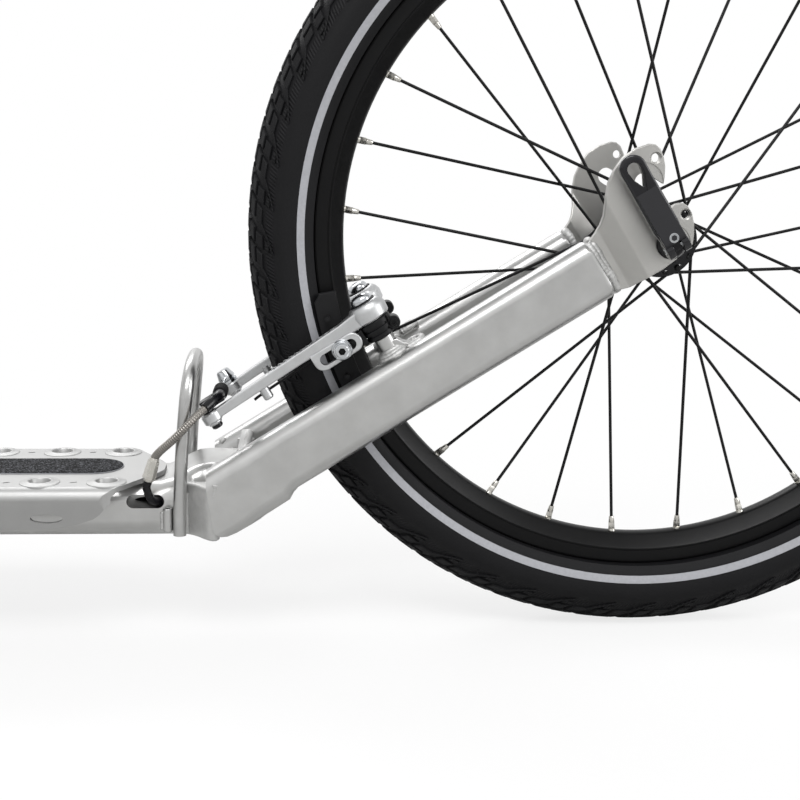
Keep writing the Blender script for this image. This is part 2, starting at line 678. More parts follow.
def tread_block(corners, height):
    """A flat rubber block that narrows a little upwards."""
    bm = slab(corners, -0.8, height)
    top = [v for v in bm.verts if v.co.z > 0]
    middle = sum((v.co for v in top), Vector()) / len(top)
    for v in top:
        v.co.x += (middle.x - v.co.x) * 0.1
        v.co.y += (middle.y - v.co.y) * 0.1
    rim = [e for e in bm.edges if all(v.co.z > 0 for v in e.verts)]
    ease(bm, rim, 0.35, 1)
    return bm


# One pitch of the tread on one side: (corners, height), in millimetres round and across
TREAD = (
    (((0.5, 0.6), (9.5, 0.6), (13, 6.6), (4, 6.6)), 1.8),
    (((11.5, 0.6), (24.5, 0.6), (27, 6.6), (15, 6.6)), 1.8),
    (((5, 8), (14, 8), (18.5, 14), (9, 14)), 1.7),
    (((16.5, 8), (27.5, 8), (31.5, 14), (21, 14)), 1.6),
    (((11, 15.4), (18.5, 15.4), (23.5, 21.8), (14.5, 21.8)), 1.6),
    (((21.5, 15.4), (32.5, 15.4), (36, 20.6), (26, 20.6)), 1.4),
    (((17, 22.9), (22.5, 22.9), (25.5, 26), (19, 26)), 1.1),
)
# Thin curved ribs that run from the shoulder blocks onto the sidewall
RIB = ((4, 17.5), (8, 20.5), (13.5, 23.6), (20, 26.6), (26.5, 28.6))


def tread(seat, pitches):
    outer = seat + 48
    share = FULL / pitches
    whole = []
    for side in (1, -1):
        for corners, height in TREAD:
            bm = tread_block([(u, side * v) for u, v in corners][::side], height)
            whole.append(wrap_tread(bm, seat, 0 if side > 0 else share / 2, outer))
        rib = swept(box_ring(0.55, 0.7, 0.2, 1), stations([spot(u, side * v, 0.5) for u, v in RIB]))
        whole.append(wrap_tread(rib, seat, 0 if side > 0 else share / 2, outer))
    return around(gather(*whole), pitches)


def tyre_profile(seat):
    """Half of the casing's section, from the crown to the bead and back inside."""
    outside = []
    for step in range(23):
        section = math.radians(step * 6.02)
        swell = min(1, max(0, (math.degrees(section) - 62) / 22))
        reach = CASING_RADIUS + 1.75 * swell * swell * (3 - 2 * swell)
        if step == 20:
            reach += 0.45
        outside.append((reach * math.sin(section), seat + CASING_UP + reach * math.cos(section)))
    bead = [(9.5, seat + 7.85), (9.5, seat + 0.4), (5.7, seat + 0.4), (5.7, seat + 10.6)]
    inside = [(21.2 * math.sin(math.radians(a)), seat + CASING_UP + 20.4 * math.cos(math.radians(a)))
              for a in (118, 90, 60, 30, 0)]
    return outside + bead + inside


def vent_hairs(seat):
    """The thin rubber hairs that the vents of the mould leave on the sidewall."""
    hairs = []
    for turn, across in ((0.02, 27.5), (0.032, 28.6), (0.21, 26.8), (0.3, 28.2), (0.311, 27.4)):
        for side in (1, -1):
            root = tyre_surface(seat, turn, side * across, 1.0) / MM
            tip = tyre_surface(seat, turn + 0.006, side * across * 0.99, 3.3) / MM
            hairs.append(rod(0.28, root, tip, 6, 0.16))
    return around(gather(*hairs), 14)


def tyre(prefix, at, seat, pitches, rubber):
    half = tyre_profile(seat)
    profile = half + [(-a, r) for a, r in half[::-1] if a > 0.01]
    casing = turned(profile, 192)
    piece(f"{prefix}_tyre_casing", casing, at, f"{prefix}_wheel", rubber,
          [f"{prefix}_tyre"], level=False, angle=50)
    piece(f"{prefix}_tyre_tread", tread(seat, pitches), at, f"{prefix}_wheel", rubber,
          level=False, angle=40)
    piece(f"{prefix}_tyre_vent_hairs", vent_hairs(seat), at, f"{prefix}_wheel", rubber,
          level=False)
    strip = [(math.sqrt(24.1 ** 2 - rise ** 2), seat + CASING_UP + rise) for rise in (-10.8, -8.5, -6.1)]
    under = [(a - 0.6, r) for a, r in strip[::-1]]
    bands = [turned([(side * a, r) for a, r in strip + under], 192) for side in (1, -1)]
    piece(f"{prefix}_reflective_stripes", gather(*bands), at, f"{prefix}_wheel", BAND,
          level=False)


def rim(prefix, at, seat):
    edge = seat + RIM_EDGE
    half = [
        (0, edge - 18.3), (3.2, edge - 17.9), (5.2, edge - 16.8), (11.2, edge - 10.6), (11.9, edge - 9.6),
        (11.9, edge - 9.1), (11.6, edge - 8.9), (11.6, edge - 8.5), (12, edge - 8.3), (12, edge - 1.2),
        (11.75, edge - 0.9), (11.75, edge - 0.6), (11.2, edge), (10, edge), (9.6, edge - 0.7),
        (9.7, edge - 3.4), (9.85, seat), (7, seat - 1.2), (5.6, seat - 3), (0, seat - 3.2),
    ]
    profile = half + [(-a, r) for a, r in half[::-1] if a > 0.01]
    piece(f"{prefix}_rim_extrusion", turned(profile, 192), at, f"{prefix}_wheel", BLACK_RIM,
          [f"{prefix}_rim"], angle=24)


def spoke_line(index, spokes, first, crown):
    """One spoke's ends, in the flange and in the rim, and its bend through the flange, laced three cross."""
    pitch = FULL / spokes
    side = 1 if index % 2 == 0 else -1
    trailing = index % 4 in (0, 3)
    rim_turn = math.radians(first) + index * pitch
    hole_turn = rim_turn + 6 * pitch * (-1 if trailing else 1)
    lay = 1.1 if trailing else -1.1
    foot = Vector((HOLE_RING * math.cos(hole_turn), side * (FLANGE_Y + lay),
                   HOLE_RING * math.sin(hole_turn)))
    head = Vector((crown * math.cos(rim_turn), 0, crown * math.sin(rim_turn)))
    bend = Vector((foot.x, side * (FLANGE_Y - 2.2 * lay), foot.z))
    return foot, head, bend


def lacing(prefix, at, seat, spokes, first):
    crown = seat + RIM_EDGE - CROWN_DEPTH
    wires, nipples = [], []
    for index in range(spokes):
        foot, head, bend = spoke_line(index, spokes, first, crown)
        aim = (head - foot).normalized()
        wires.append(rod(1, foot, head - aim * 2, 12))
        wires.append(ball(1.08, *foot))
        wires.append(rod(1.05, foot, bend, 10))
        wires.append(rod(1.9, bend, bend + (bend - foot) * 0.28, 14, 1.2))
        nipples.append(rod(2.5, head + aim * 0.6, head - aim * 1.1, 16, 2.2))
        nipples.append(rod(2.15, head - aim * 1.0, head - aim * 5.4, 4, 2.05, 0.25))
        nipples.append(rod(1.95, head - aim * 5.2, head - aim * 9.4, 14, 1.5, 0.2))
    body = f"{prefix}_wheel"
    piece(f"{prefix}_spokes", gather(*wires), at, body, BLACK_STEEL, level=False)
    piece(f"{prefix}_spoke_nipples", gather(*nipples), at, body, NICKEL, level=False)


def hub(prefix, at, spokes):
    half = [
        (0, 11.5), (19, 11.6), (22.5, 12.6), (25.2, 16.4), (26.8, 21.6), (27.4, 22.4), (29.6, 22.4),
        (30.1, 21.9), (30.2, 17.2), (31, 15.6), (33.4, 15.4), (34, 14.9), (34, 13.05), (27.05, 13.05),
        (27.05, 6.6), (0, 6.6),
    ]
    shell = turned(half + [(-a, r) for a, r in half[-2:0:-1] if a > 0.01], 96)
    drills = []
    for step in range(spokes // 2):
        for side in (1, -1):
            turn = FULL * (step + (0.5 if side > 0 else 0)) / (spokes // 2)
            x, z = HOLE_RING * math.cos(turn), HOLE_RING * math.sin(turn)
            drills.append(rod(1.25, (x, side * 24, z), (x, side * 32, z), 10))
    ridges = [turned([(y, 10), (y, 11.9), (y + 0.8, 12.1), (y + 1.6, 11.9), (y + 1.6, 10)], 64)
              for y in (-12, -0.8, 10.4)]
    piece(f"{prefix}_hub_shell", gather(carve(shell, gather(*drills)), *ridges), at, f"{prefix}_wheel",
          BLACK_ALLOY, [f"{prefix}_hub_and_spokes"])


def valve(prefix, at, seat, spokes, first, place_in_spokes):
    """The inner tube, with its rubber valve and knurled cap."""
    turn = math.radians(first) + place_in_spokes * FULL / spokes
    crown = seat + RIM_EDGE - CROWN_DEPTH
    ring = moved(round_ring(11.8, 16), place(seat + 26.5, 0, 0))
    bmesh.ops.spin(ring, geom=ring.verts[:] + ring.edges[:], cent=(0, 0, 0), axis=(0, 1, 0), dvec=(0, 0, 0),
                   angle=FULL, steps=72, use_merge=True, use_duplicate=False)
    stem = turned_up([
        (crown - 26, 0), (crown - 26, 2.3), (crown - 22, 2.3), (crown - 21.5, 3), (crown - 8, 3.1),
        (crown - 3, 3.9), (crown + 6, 4), (crown + 6, 0)], 24)
    cap = turned_up([(crown - 33, 0), (crown - 33, 2.2), (crown - 32, 2.9), (crown - 25.5, 2.9),
                     (crown - 25.5, 0)], 24)
    ribs = [rod(0.35, (2.85 * math.cos(a), 2.85 * math.sin(a), crown - 31.5),
                (2.85 * math.cos(a), 2.85 * math.sin(a), crown - 26), 6) for a in
            [FULL * k / 16 for k in range(16)]]
    whole = gather(stem, cap, *ribs)
    moved(whole, Matrix.Rotation(math.pi / 2 - turn, 4, "Y"))
    piece(f"{prefix}_tube_and_valve", gather(ring, whole), at, f"{prefix}_wheel", RUBBER,
          [f"{prefix}_inner_tube"], level=False)


def axle(prefix, at, body):
    half = [(34.4, 5), (34.4, 7.2), (35.2, 7.5), (41, 7.5), (41.4, 8.4), (44.6, 8.4), (45, 7.2), (45.7, 7.2),
            (46, 8.5), (49.4, 8.5), (49.7, 8.1), (49.7, 5), (53.6, 5), (53.8, 4.6), (53.8, 2.9)]
    profile = half + [(-a, r) for a, r in half[::-1]]
    piece(f"{prefix}_hollow_axle", turned(profile, 48), at, body, BRIGHT,
          [f"{prefix}_axle"], level=False)


def quick_release(prefix, at, body, lever_turn):
    """The skewer through the axle, its nut, and the closed lever on its cam pin."""
    nut = [(-59.3, 0), (-59.3, 6.4), (-58.6, 7.4), (-55.6, 9), (-55.3, 9), (-55.3, 2.5), (55.3, 2.5),
           (55.3, 8.6), (56.2, 8.8), (59.5, 8.8), (60.2, 7.9), (66.5, 6.6), (68.4, 5.2), (69.2, 3.2),
           (69.3, 0)]
    grooves = [moved(block((8, 56.2, -0.5), (9.2, 59.4, 0.5)), Matrix.Rotation(FULL * k / 20, 4, "Y"))
               for k in range(20)]
    shank = turned(nut, 48)
    turn = Matrix.Rotation(-math.radians(lever_turn), 4, "Y")
    tongue = moved(block((-2.5, -68.5, -2.5), (2.5, -55.5, 2.5), 0.5), turn)
    piece(f"{prefix}_skewer_and_nut", gather(carve(shank, gather(*grooves)), tongue), at, body,
          BLACK_ALLOY, [f"{prefix}_skewer"])
    pin = carve(rod(2.3, (0, 0, -7.6), (0, 0, 7.6), 24, edge=0.3), rod(1.2, (0, 0, 6), (0, 0, 9), 6),
                rod(1.2, (0, 0, -9), (0, 0, -6), 6))
    piece(f"{prefix}_cam_pin", pin, at @ place(0, -66.1, 0) @ turn, body, BRIGHT)

    sweep = [(6.4, -7), (12, -8.1), (30, -8), (44, -7.8), (50, -7.9)]
    tip = [(52 + 8 * math.cos(a), 8 * math.sin(a)) for a in [math.pi * (k / 12 - 0.5) for k in range(13)]]
    blade = plate(sweep + tip + [(x, -z) for x, z in sweep[::-1]], -2.7, 2.7, edge=1.5)
    window = [(51.4 + 3.9 * math.cos(a), 3.9 * math.sin(a)) for a in
              [math.pi * (k / 8 - 0.5) for k in range(9)]] + [(46, 3.1), (39.5, 0), (46, -3.1)]
    dish = [(51.6 + 5 * math.cos(a), 5 * math.sin(a)) for a in
            [math.pi * (k / 8 - 0.5) for k in range(9)]] + [(46, 4.3), (36, 0.3), (36, -0.3), (46, -4.3)]
    cheeks = [rod(5.9, (0, 0, side * 2.9), (0, 0, side * 7.3), 40, edge=0.7) for side in (1, -1)]
    roots = [block((0, -2.6, min(side * 2.9, side * 7)), (10, 2.6, max(side * 2.9, side * 7)), 0.6)
             for side in (1, -1)]
    cut = carve(blade, plate(window, -6, 6), plate(dish, -3.6, -2.0), plate(dish, 2.0, 3.6))
    pin_hole = rod(2.6, (0, 0, -12), (0, 0, 12), 24)
    # The cover stops short of the tongue, which passes in front of it when the lever is swung open
    cover = slab([(2.6, -3.6), (2.6, -6.1), (5, -6.1), (37, -2.75), (37, -1), (8, -2.6), (5, -3.6)], -7, 7,
                 edge=0.5)
    screw = carve(rod(2.9, (5.8, -6.6, 0), (5.8, -5.7, 0), 32, edge=0.3),
                  rod(1.8, (5.8, -8, 0), (5.8, -5, 0), 6))
    lever = gather(cut, cover, *[carve(part, pin_hole.copy()) for part in cheeks], *roots)
    pin_hole.free()
    piece(f"{prefix}_release_lever_blade", lever, at @ place(0, -66.1, 0) @ turn,
          f"{prefix}_release_lever", BLACK_LEVER, [f"{prefix}_quick_release_lever"])
    piece(f"{prefix}_release_lever_screw", screw, at @ place(0, -66.1, 0) @ turn, f"{prefix}_release_lever",
          BRIGHT)


def wheel(prefix, at, seat, spokes, first, valve_place, pitches, rubber):
    """A wheel whose first spoke meets the rim at first degrees, with so many pitches of tread."""
    tyre(prefix, at, seat, pitches, rubber)
    rim(prefix, at, seat)
    lacing(prefix, at, seat, spokes, first)
    hub(prefix, at, spokes)
    valve(prefix, at, seat, spokes, first, valve_place)


wheel("rear", REAR_AXLE, REAR_SEAT, 28, 162.6, -5.5, 56, REAR_TYRE)
wheel("front", FRONT_AXLE, FRONT_SEAT, 32, 275.6, -0.5, 74, FRONT_TYRE)
axle("rear", REAR_AXLE, "frame")
axle("front", FRONT_AXLE, "steering")
quick_release("rear", REAR_AXLE, "frame", 122.3)
quick_release("front", FRONT_AXLE, "steering", 42)
for prefix in ("rear", "front"):
    for side in ("left", "right"):
        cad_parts[f"{prefix}_bearing_{side}"].data.materials[0] = BRIGHT


# Rear end: stays, dropouts and the plate between the stays

ALONG_X = Matrix(((0, 0, 1, 0), (1, 0, 0, 0), (0, 1, 0, 0), (0, 0, 0, 1)))


def arc(x, z, radius, first, last, steps=6):
    angles = [math.radians(first + (last - first) * k / steps) for k in range(steps + 1)]
    return [(x + radius * math.cos(a), z + radius * math.sin(a)) for a in angles]


def beam(corner, sections):
    """A rounded rectangular bar along X, through (x, y, z, half across Y, half across Z) sections."""
    half_y, half_z = sections[0][3:]
    frames = [place(x, y, z) @ ALONG_X @ Matrix.Diagonal((a / half_y, b / half_z, 1, 1))
              for x, y, z, a, b in sections]
    return swept(box_ring(half_y, half_z, corner, 6), frames)


def stay_tube():
    """The left stay: a rounded rectangular tube with a deeper foot, cut off at the frame tube."""
    tube = beam(7, [
        (-40.2, -40, 7.55, 7.6, 15.6), (-41.6, -40, 7.55, 9.8, 17.9), (-44, -40, 7.55, 11, 19.05),
        (-150, -40, 7.55, 11, 19.05), (-266, -40, 7.55, 11, 19.05), (-270, -40, 6.9, 11, 19.7),
        (-274.5, -40, 5.6, 11, 21), (-292, -40, 5.4, 11, 21.2), (-306, -40, 4.7, 11, 21.9),
        (-340, -40, 3.6, 11, 23)])
    side = [(-20, -40), (-20, 45), (-300, 45), (-308.4, 26.6), (-313.4, 17.3), (-323, -5.4), (-323, -8.5),
            (-321.4, -11.6), (-318, -13.6), (-312, -14.8), (-300, -15.6), (-292, -16.4), (-280, -40)]
    return carve(tube, plate(side, -80, 0), operation="INTERSECT")


def dropout_fold(along):
    """How far the plate steps inwards, along the stay, with its bends rounded."""
    return sum(min(9, max(0, (-20.9 - along - shift) * 9 / 11.5)) for shift in (-0.35, 0.35)) / 2


def dropout_plate():
    """The left dropout: a folded plate with two slots, coined seats round them, and two eyelets."""
    edge = [
        (-27.8, -28.6), (-46.4, 1), (-43.4, 5.6), (-41.4, 10), (-40.2, 15.7), (-40.2, 27.3), (-39, 35.4),
        (-36, 42.6), (-30.8, 50.2), (-23.2, 55.4), (-15.6, 58), (-12.2, 57.6), (-9.2, 55.2), (-7, 50.6),
        (-5.9, 45.4), (-5.9, 39), (-6.8, 30.6), (-1.1, 21.7), (1.2, 23.3), (4, 24), (6.6, 23.8), (9, 22.2),
        (11.7, 17.9), (13.2, 11.6), (13.5, 6), (13.1, 0.8), (12.1, -2.4), (-1.4, -13.1), (-3.6, -14.9),
        (-11.1, -19.3), (-21.4, -26.9)]
    bm = plate(edge, -55, -50, edge=0.7)
    along = Vector((math.cos(math.radians(STAY_RISE)), 0, math.sin(math.radians(STAY_RISE))))
    for line in (-20.2, -20.9, -21.6, -31.7, -32.4, -33.1):
        bmesh.ops.bisect_plane(bm, geom=bm.verts[:] + bm.edges[:] + bm.faces[:], dist=1e-7,
                               plane_co=along * line * MM, plane_no=along)
    for v in bm.verts:
        v.co.y += dropout_fold(v.co.dot(along) / MM) * MM
    width, fall = 10.6, math.radians(SLOT_RISE)
    slots, coins = [], []
    for x, z, reach in ((0, 0, 14.8), (-18.2, 35.85, 6.2)):
        middle = (x + reach * math.cos(fall), z + reach * math.sin(fall))
        slots.append(plate(obround(*middle, width + 2 * reach, width, SLOT_RISE), -70, -30))
        coins.append(rod(11.6, (x, -60, z), (x, -54.2, z), 48))
    drill = [(-60, 0), (-60, 3.5), (-55, 3.5), (-54.2, 2.6), (-40, 2.6), (-40, 0)]
    eyelets = [moved(turned(drill, 32), place(x, 0, z)) for x, z in ((-11.7, 50), (7.7, 17.5))]
    bm = carve(bm, gather(*coins))
    for tool in slots + eyelets:
        bm = carve(bm, tool)
    return bm


def post(side):
    """The weld-on boss that a brake arm turns on, with the small ramp behind its foot."""
    barrel = turned_up([(-8, 0), (-8, 6.4), (12, 6.2), (12.8, 5.4), (12.8, 4), (36, 4), (36, 0)], 48)
    ramp = plate([(0, -4), (20, -4), (17.5, -1.6), (13, 0.6), (9.4, 3.6), (6.6, 8), (0, 9)], -5.4, 5.4,
                 edge=1.8)
    return moved(gather(barrel, ramp), place(0, side * POST_Y, 0))


def bolt_cap(side):
    """The domed head of the bolt on an arm's pivot, with its hexagon hole."""
    cap = turned_up([(36, 0), (36, 6.6), (38.4, 6.7), (39.9, 6.1), (41, 4.8), (41.6, 3), (41.7, 0)], 48)
    return moved(carve(cap, rod(2.4, (0, 0, 39.6), (0, 0, 44), 6)), place(0, side * POST_Y, 0))


def cap_gasket(side):
    """The dark ring round the bolt's head, sunk in the top of the arm."""
    ring = turned_up([(35, 6.7), (35, 8.1), (36.9, 8.1), (37.3, 7.5), (37.3, 6.7)], 48)
    return moved(ring, place(0, side * POST_Y, 0))


def stay_welds():
    """The beads of the left stay: at the dropout, at the foot and round the brake post."""
    end_outside = [(-39, -42, 23), (-38.8, -44.6, 22.2), (-38.6, -45.4, 18), (-38.4, -45.6, 7),
                   (-38.6, -45.4, -4), (-38.8, -44, -8.4), (-39, -42, -9)]
    end_upper = [(-41.6, -44, 24), (-41.2, -46.6, 21), (-41, -47.2, 16), (-40.4, -46.8, 8), (-39.6, -46, 2)]
    end_inside = [(-39.4, -39, 25), (-39.2, -34, 24), (-39, -31.4, 19), (-39, -31, 7),
                  (-39, -31.4, -5), (-39.2, -34, -9.4), (-39.4, -39, -10)]
    foot = [(-306, -48.4, 18), (-312, -47.4, 11), (-318, -46, -1), (-320, -45, -9)]
    foot_top = [(-302, -32, 25), (-305, -39, 24.6), (-304, -46, 23)]
    beads = [weld(2.5, end_outside, 0.9, 0.08), weld(2.6, end_upper, 0.9, 0.16), weld(2.6, end_inside),
             weld(3.4, foot, 0.7, 0.04), weld(2.2, foot_top, 0.8, 0.05)]
    for width, reach, height in ((2.6, 8.6, 26.2), (2.6, 7, 27.8), (2, 5.9, 29.8)):
        ring = [(REAR_POST_X + reach * math.cos(a), -POST_Y + reach * math.sin(a), height)
                for a in [FULL * k / 8 for k in range(9)]]
        beads.append(weld(width, ring, 0.9, 0.07))
    ramp_foot = [(-165, -38.6, 26.4), (-156, -37, 26.4), (-154.6, -31.5, 26.4), (-156, -26, 26.4),
                 (-165, -24.4, 26.4)]
    beads.append(weld(2.6, ramp_foot, 0.8, 0.08))
    return gather(*beads)


def rear_end():
    for side, name in ((-1, "left"), (1, "right")):
        piece(f"{name}_stay_tube", handed(-side, stay_tube()), STAYS, "frame", SATIN_TUBE,
              [f"{name}_stay"], angle=28)
        piece(f"{name}_dropout_plate", handed(-side, dropout_plate()), REAR_AXLE, "frame",
              SATIN_PLATE, [f"{name}_dropout"], angle=28)
        piece(f"rear_brake_post_{name}", post(side), REAR_BRAKE, "frame", SATIN_FRAME)
        piece(f"rear_pivot_bolt_{name}", bolt_cap(side), REAR_BRAKE, "frame", BRIGHT)
        piece(f"rear_cap_gasket_{name}", cap_gasket(side), REAR_BRAKE, "frame", PLASTIC)
        piece(f"{name}_stay_welds", handed(-side, stay_welds()), STAYS, "frame", WELD,
              level=False, angle=60)
    bridge = block((-257.5, -28.7, 75.5), (-252, 28.7, 120.8), 1.2)
    seams = [weld(2.8, [(-254.5 + dx, side * 28, z) for z in (77.5, 89, 101, 115)])
             for side in (1, -1) for dx in (-3.4, 3.4)]
    seams.append(weld(3, [(-252.5, y, 119) for y in (-27, -9, 9, 27)]))
    piece("stay_bridge_plate", bridge, BELOW_AXLE, "frame", SATIN_FRAME, ["stay_bridge"])
    piece("stay_bridge_welds", gather(*seams), BELOW_AXLE, "frame", WELD, level=False,
          angle=60)


# Frame tube, footboard and heel guard; X is measured from the rear axle in the tube and the guard

TUBE_HALF_Y, TUBE_HALF_Z, TUBE_WALL = 33.7, 17, 2.8


def tube_frames(wall, sections):
    """Frames along the frame tube from (x, z, turn, half across, half high) sections."""
    half_y, half_z = TUBE_HALF_Y - wall, TUBE_HALF_Z - wall
    return [place(x + AXLE_X, 0, z) @ Matrix.Rotation(turn, 4, "Y") @ ALONG_X
            @ Matrix.Diagonal(((a - wall) / half_y, (b - wall) / half_z, 1, 1))
            for x, z, turn, a, b in sections]


def frame_tube():
    """A flat drawn tube: level under the footboard, then bent up to the head tube, with two cable ports."""
    bend = math.radians(66.48)
    rear = [(-258.5, 87.7, 0, 28.6, 22.4), (-274, 87.7, 0, 28.7, 22.5), (-279, 87.5, 0, 30.4, 22.3),
            (-284, 87, 0, 33.2, 21.8), (-290, 85.6, 0, 33.7, 20.4), (-297, 83.6, 0, 33.7, 18.4),
            (-304, 82.2, 0, 33.7, 17), (-500, 82.2, 0, 33.7, 17)]
    curve = []
    for step in range(17):
        share = step / 16
        turn = bend * share
        curve.append((-688 - 170 * math.sin(turn), 252.2 - 170 * math.cos(turn), turn,
                      33.7 - 12.7 * share, 17 + 8 * share))
    top = [(-1098.8, 770.2, bend, 21, 25)]
    outside = swept(box_ring(TUBE_HALF_Y, TUBE_HALF_Z, 12, 8), tube_frames(0, rear + curve + top))
    inside = swept(box_ring(TUBE_HALF_Y - TUBE_WALL, TUBE_HALF_Z - TUBE_WALL, 10, 8),
                   tube_frames(TUBE_WALL, rear[1:] + curve + top))
    rear_port = plate(obround(AXLE_X - 313.5, 88.7, 23, 8.2), -50, -14)
    upper_port = plate(obround(-362.7, 660.2, 23, 8.2, -66.5), 10, 40)
    tube = carve(outside, inside)
    tube = carve(carve(tube, rear_port), upper_port)
    made = piece("frame_tube_body", tube, BIKE, "frame", SATIN_FRAME, ["frame_tube"],
                 angle=28)
    # Faces that look towards the tube's middle line are its inside
    made.data.materials.append(SHADED)
    line = [at.translation for at in tube_frames(0, rear + curve + top)]
    for a, b in zip(line, line[1:]):
        along = (b - a).normalized()
        for face in made.data.polygons:
            reach = face.center - a
            if -0.001 < reach.dot(along) < (b - a).length + 0.001:
                out = reach - along * reach.dot(along)
                if face.normal.dot(out.normalized()) < -0.2:
                    face.material_index = 1
    guide = carve(turned_up([(70.7, 0), (70.7, 2.6), (71.5, 3.1), (84.4, 3.1), (85.2, 2.6), (85.2, 0)], 32),
                  rod(1.7, (0, 0, 74), (0, 0, 90), 24))
    piece("cable_guide_stub", guide, place(AXLE_X - 299.6, -36.2, 0), "frame",
          SATIN_FRAME)
    beads = [weld(1.9, [(-299.6 + dx, -34.2, z) for z in (70.6, 76, 83)]) for dx in (-3.2, 3.2)]
    piece("cable_guide_welds", gather(*beads), BELOW_AXLE, "frame", WELD, level=False,
          angle=60)


def footboard():
    """The folded channel that the rider stands on, with its holes and slots, and the grip tape."""
    fold_y, fold_z = 48.5, 95
    skin = [(-52.6, 76.8), *arc(-fold_y, fold_z, 7.5, 180, 90), *arc(fold_y, fold_z, 7.5, 90, 0),
            (52.6, 76.8), (49.6, 76.8), *arc(fold_y, fold_z, 4.5, 0, 90),
            *arc(-fold_y, fold_z, 4.5, 90, 180), (-49.6, 76.8)]
    board = moved(plate(skin, -384.25, -0.25), Matrix.Rotation(math.pi / 2, 4, "Z"))
    ends = [(383.9, 8), (380.6, 16), (371.3, 32), (362.6, 47), (358.6, 51.6), (354.8, 54), (340, 60)]
    ends = ends + [(384.5 - x, y) for x, y in ends[::-1]]
    board = carve(board, slab(ends + [(x, -y) for x, y in ends[::-1]], 60, 120), operation="INTERSECT")
    profile = [(390, 106), (390, 98), (357, 94), (353, 90), (350, 86.4), (346, 83.4), (338, 80.6),
               (328, 78.2), (318, 76.4), (312, 70)]
    profile = profile + [(384.5 - x, z) for x, z in profile[::-1]]
    board = carve(board, plate(profile, -70, 70), operation="INTERSECT")
    collar = [(-2.8, 5.2), (-2.8, 11.6), (-0.3, 12.2), (0.35, 12), (0.6, 11.4), (0.72, 10.2), (0.95, 8.8),
              (1.3, 8), (1.4, 7.4), (1.2, 6.8), (0.5, 6.3)]
    holes, collars, pips = [], [], []
    for index in range(9):
        for side in (1, -1):
            at = place(352.45 - 40 * index, side * 39, 102.5)
            holes.append(moved(rod(7.4, (0, 0, -12), (0, 0, 6), 48), at))
            collars.append(moved(turned_up(collar, 48), at))
            if index < 8:
                pips.append(slab(obround(332.45 - 40 * index, side * 39, 4.6, 1.8, 24, 5), 101.2, 104))
    slots = [plate([(x + 9.6 * math.cos(a), 84 + 3 * math.sin(a)) for a in
                    [FULL * k / 32 for k in range(32)]], -60, 60) for x in (318.45, 186.45, 54.45)]
    board = carve(board, gather(*holes), gather(*pips), gather(*slots))
    piece("footboard_channel", gather(board, *collars), BIKE, "frame", SATIN_BOARD,
          ["footboard"], angle=26)
    piece("grip_tape_edge", slab(obround(192.25, 0, 331, 37.4, 0, 24), 102.7, 103.1), BIKE, "frame",
          BAND, level=False)
    piece("grip_tape_strip", slab(obround(192.25, 0, 330, 36.4, 0, 24), 102.9, 103.6, edge=0.2), BIKE,
          "frame", GRIT, ["grip_tape"], level=False)


def heel_guard():
    """A bent polished rod in front of the rear wheel, welded to both sides of the frame tube."""
    def lean(height):
        return -292.4 + 7.4 * (height / 105) ** 1.8

    legs = (0, 24, 52, 80)
    points = [(lean(h), -38, 68.7 + h) for h in legs]
    for step in range(1, 10):
        turn = math.pi * step / 10
        height = 80 + 25 * math.sin(turn) ** 0.8
        out = 38 * math.copysign(abs(math.cos(turn)) ** 0.8, math.cos(turn))
        points.append((lean(height), -out, 68.7 + height))
    points += [(lean(h), 38, 68.7 + h) for h in legs[::-1]]
    piece("heel_guard_rod", cable(4, points, 6, 28), BELOW_AXLE, "frame", SATIN_ROD,
          ["heel_guard"])
    beads = []
    for side in (1, -1):
        beads.append(weld(1.8, [(-288.6, side * 34.8, z) for z in (69, 77, 86, 95)], 0.8, 0.1))
        # The weld is dressed to a broad fillet between the frame tube and the stay's foot
        fillet = [(-291, 30), (-291, 33), (-288, 34), (-285, 36), (-281, 40), (-278, 44), (-275, 47.4),
                  (-272, 49.4), (-269, 49), (-267.4, 46), (-267.4, 30)]
        beads.append(slab([(x, side * y) for x, y in fillet], 67.6, 101, edge=5))
    piece("heel_guard_welds", gather(*beads), BELOW_AXLE, "frame", WELD, level=False,
          angle=60)


rear_end()
frame_tube()
footboard()
heel_guard()


# Rim brakes, drawn with their arms towards -X and their pivots upright

# The arm's middle line, the pad's bolt and the cable, at rest
ARM_Y = 34.9
PAD_X, PAD_Z = -25, 19.8
CABLE_X, CABLE_Z = -104, 33.5


